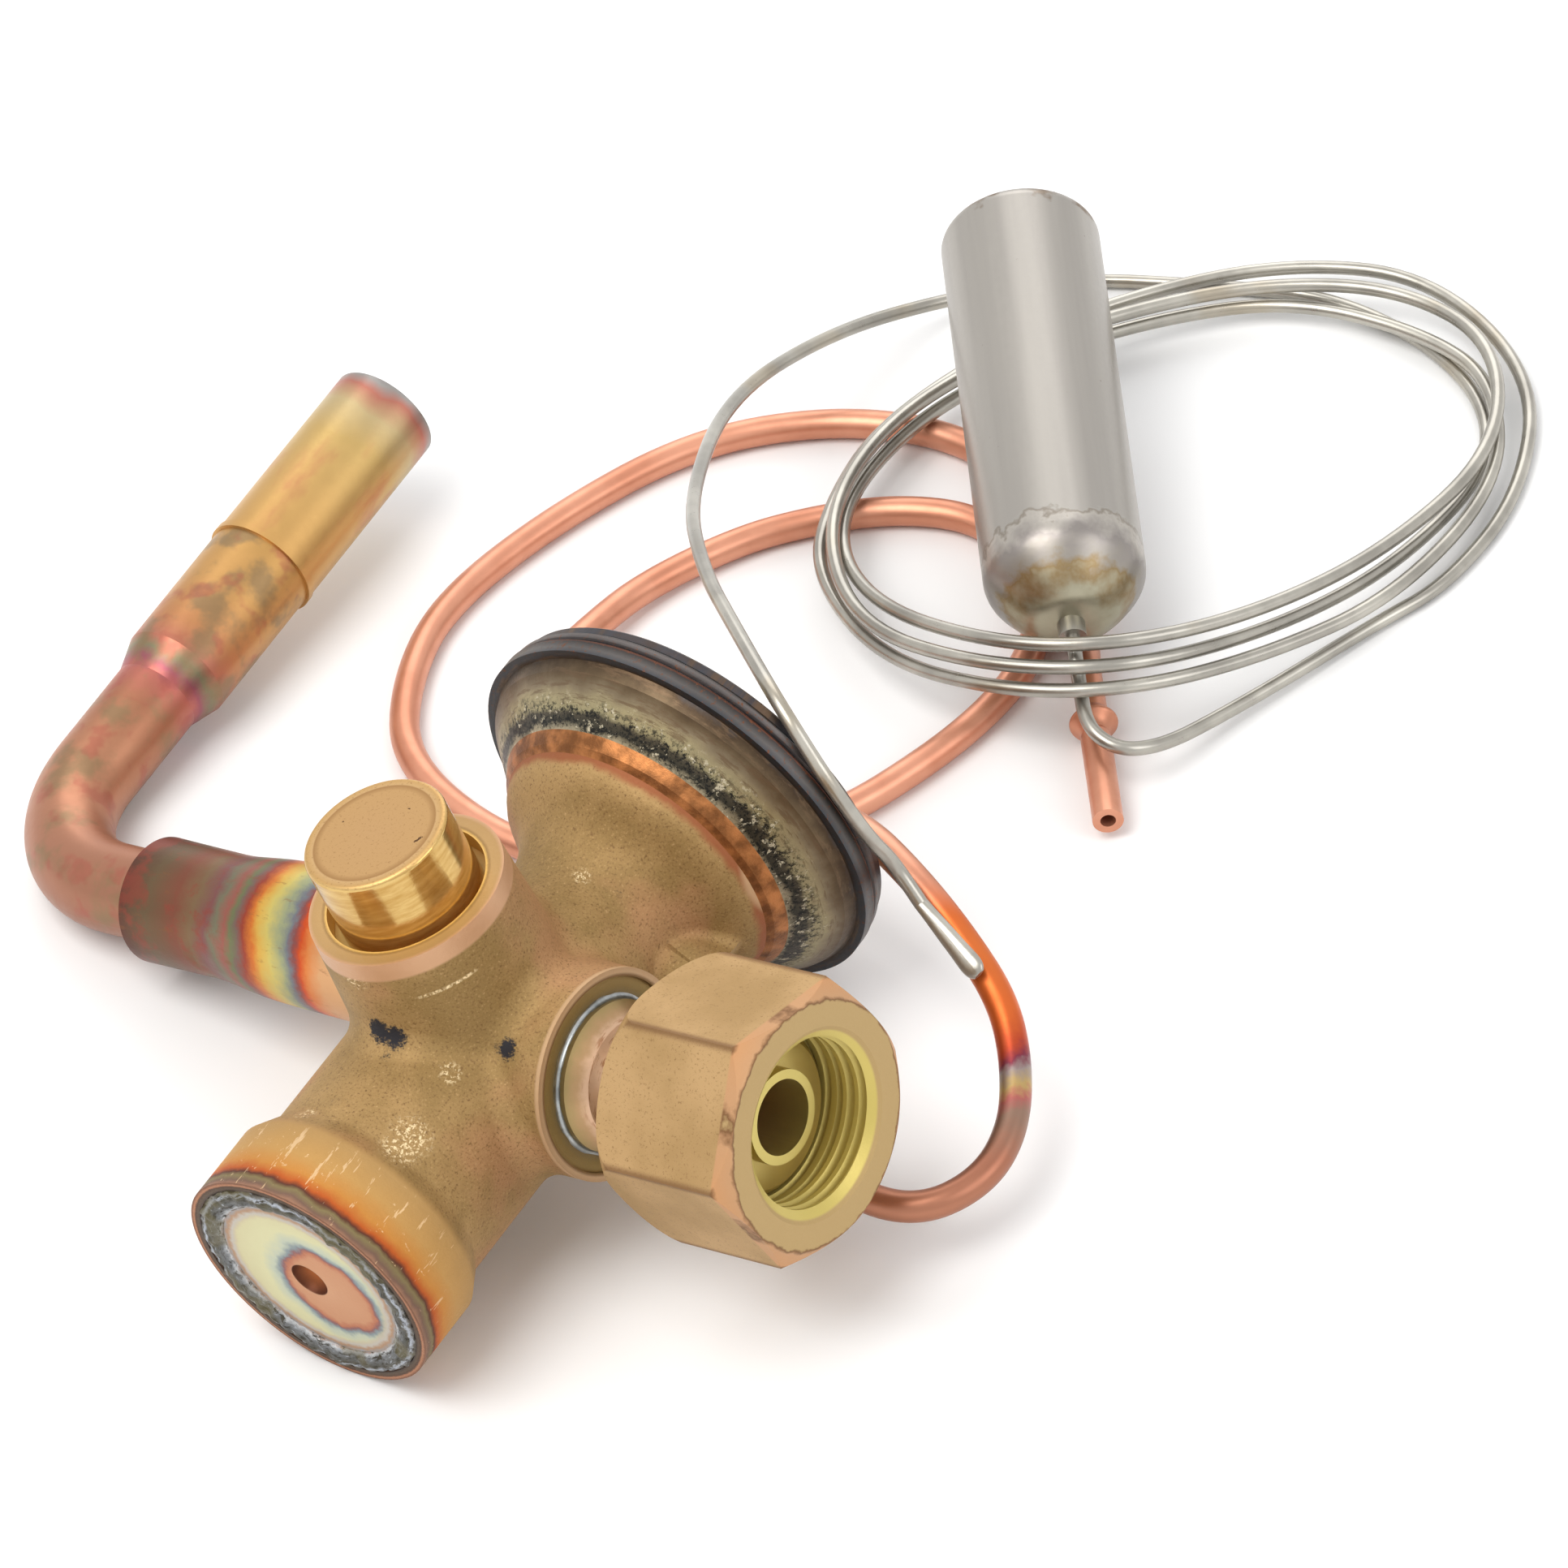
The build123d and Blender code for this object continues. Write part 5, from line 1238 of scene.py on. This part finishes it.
class VALVE_OT_stage(bpy.types.Operator):
    """Pale bench, soft light and the camera"""
    bl_idname = "valve.stage"
    bl_label = "Bench, light and camera"

    def execute(self, context):
        scene = context.scene
        settings = scene.stage_settings
        scene.view_settings.view_transform = "Standard"
        mesh = bpy.data.meshes.new("bench_top")
        sides = ((-1, -1), (1, -1), (1, 1), (-1, 1))
        corners = [(BENCH_HALF * across, BENCH_HALF * away, 0) for across, away in sides]
        mesh.from_pydata(corners, [], [(0, 1, 2, 3)])
        bench = bpy.data.objects.new("bench_top", mesh)
        scene.collection.objects.link(bench)
        mesh.materials.append(bench_paint())
        room_light(scene, settings.room)
        lamps = [
            ("key", (-0.35, -0.25, 0.95), 0.7, settings.key_power, (1.0, 0.99, 0.97)),
            ("fill", (0.8, -0.5, 0.6), 0.6, settings.key_power * 0.35, (0.97, 0.98, 1.0)),
            ("back", (0.2, 0.95, 0.7), 0.8, settings.key_power * 0.5, (1.0, 1.0, 1.0)),
        ]
        for name, spot, size, power, colour in lamps:
            add_lamp(scene, name, Vector(spot), size, power, colour)
        add_camera(scene)
        return {"FINISHED"}


def add_camera(scene):
    """Camera at the photograph's place, held a little tilted."""
    data = bpy.data.cameras.new("camera")
    data.lens = CAMERA_LENS
    data.sensor_width = 36.0
    data.clip_start = 0.01
    data.dof.use_dof = False
    camera = bpy.data.objects.new("camera", data)
    aim = Matrix.Rotation(math.radians(CAMERA_TURN), 4, "Z")
    aim = aim @ Matrix.Rotation(math.radians(90 - CAMERA_PITCH), 4, "X")
    aim = aim @ Matrix.Rotation(math.radians(CAMERA_ROLL), 4, "Z")
    camera.matrix_world = Matrix.Translation(CAMERA_SPOT) @ aim
    scene.collection.objects.link(camera)
    scene.camera = camera


def add_lamp(scene, name, spot, size, power, colour):
    """Square soft light that looks at the valve."""
    data = bpy.data.lights.new(name, "AREA")
    data.shape = "SQUARE"
    data.size = size
    data.energy = power
    data.color = colour
    lamp = bpy.data.objects.new(name, data)
    way = Vector((0.03, 0.0, 0.0)) - spot
    lamp.matrix_world = Matrix.Translation(spot) @ way.to_track_quat("-Z", "Y").to_matrix().to_4x4()
    scene.collection.objects.link(lamp)


def bench_paint():
    """White bench that keeps the shadow of what lies on it."""
    material = bpy.data.materials.new("bench_paint")
    material.use_nodes = True
    shader = material.node_tree.nodes["Principled BSDF"]
    shader.inputs["Base Color"].default_value = (0.93, 0.93, 0.93, 1)
    shader.inputs["Roughness"].default_value = 0.9
    return material


def room_light(scene, strength):
    """Even light from all round, with a white background for what looks at it straight."""
    world = bpy.data.worlds.new("room")
    world.use_nodes = True
    scene.world = world
    nodes, links = world.node_tree.nodes, world.node_tree.links
    background = nodes["Background"]
    background.inputs["Color"].default_value = (1, 1, 1, 1)
    path = nodes.new("ShaderNodeLightPath")
    seen = nodes.new("ShaderNodeMath")
    seen.operation = "MAXIMUM"
    links.new(path.outputs["Is Camera Ray"], seen.inputs[0])
    links.new(path.outputs["Is Glossy Ray"], seen.inputs[1])
    either = nodes.new("ShaderNodeMath")
    either.operation = "MAXIMUM"
    links.new(seen.outputs[0], either.inputs[0])
    links.new(path.outputs["Is Transmission Ray"], either.inputs[1])
    level = nodes.new("ShaderNodeMapRange")
    level.inputs["To Min"].default_value = strength
    level.inputs["To Max"].default_value = 1.0
    links.new(either.outputs[0], level.inputs["Value"])
    links.new(level.outputs["Result"], background.inputs["Strength"])


class VALVE_PT_dressing(bpy.types.Panel):
    """Everything that dresses the valve"""
    bl_idname = "VALVE_PT_dressing"
    bl_label = "Expansion valve"
    bl_space_type = "VIEW_3D"
    bl_region_type = "UI"
    bl_category = "Valve"

    def draw(self, context):
        layout = self.layout
        for settings in ("valve_sizes", "valve_colours", "stage_settings"):
            group = getattr(context.scene, settings)
            for name in group.__annotations__:
                layout.prop(group, name)
        for operator in OPERATORS:
            layout.operator(operator.bl_idname)


OPERATORS = (
    VALVE_OT_tubes, VALVE_OT_bulb, VALVE_OT_body, VALVE_OT_inlet, VALVE_OT_spindle,
    VALVE_OT_outlet, VALVE_OT_head, VALVE_OT_works, VALVE_OT_stage,
)
GROUPS = {
    "valve_sizes": ValveSizes,
    "valve_colours": ValveColours,
    "stage_settings": StageSettings,
}


def register():
    """Make the settings, the operators and the panel known."""
    for name, group in GROUPS.items():
        bpy.utils.register_class(group)
        setattr(bpy.types.Scene, name, bpy.props.PointerProperty(type=group))
    for operator in OPERATORS:
        bpy.utils.register_class(operator)
    bpy.utils.register_class(VALVE_PT_dressing)


def unregister():
    """Take it all back."""
    bpy.utils.unregister_class(VALVE_PT_dressing)
    for operator in reversed(OPERATORS):
        bpy.utils.unregister_class(operator)
    for name, group in GROUPS.items():
        delattr(bpy.types.Scene, name)
        bpy.utils.unregister_class(group)


def main():
    """Dress the valve piece by piece, then set the stage."""
    register()
    for operator in OPERATORS:
        if operator is VALVE_OT_stage:
            continue
        getattr(bpy.ops.valve, operator.bl_idname.split(".")[1])()
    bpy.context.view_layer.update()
    bpy.ops.valve.stage()


if __name__ == "__main__":
    main()
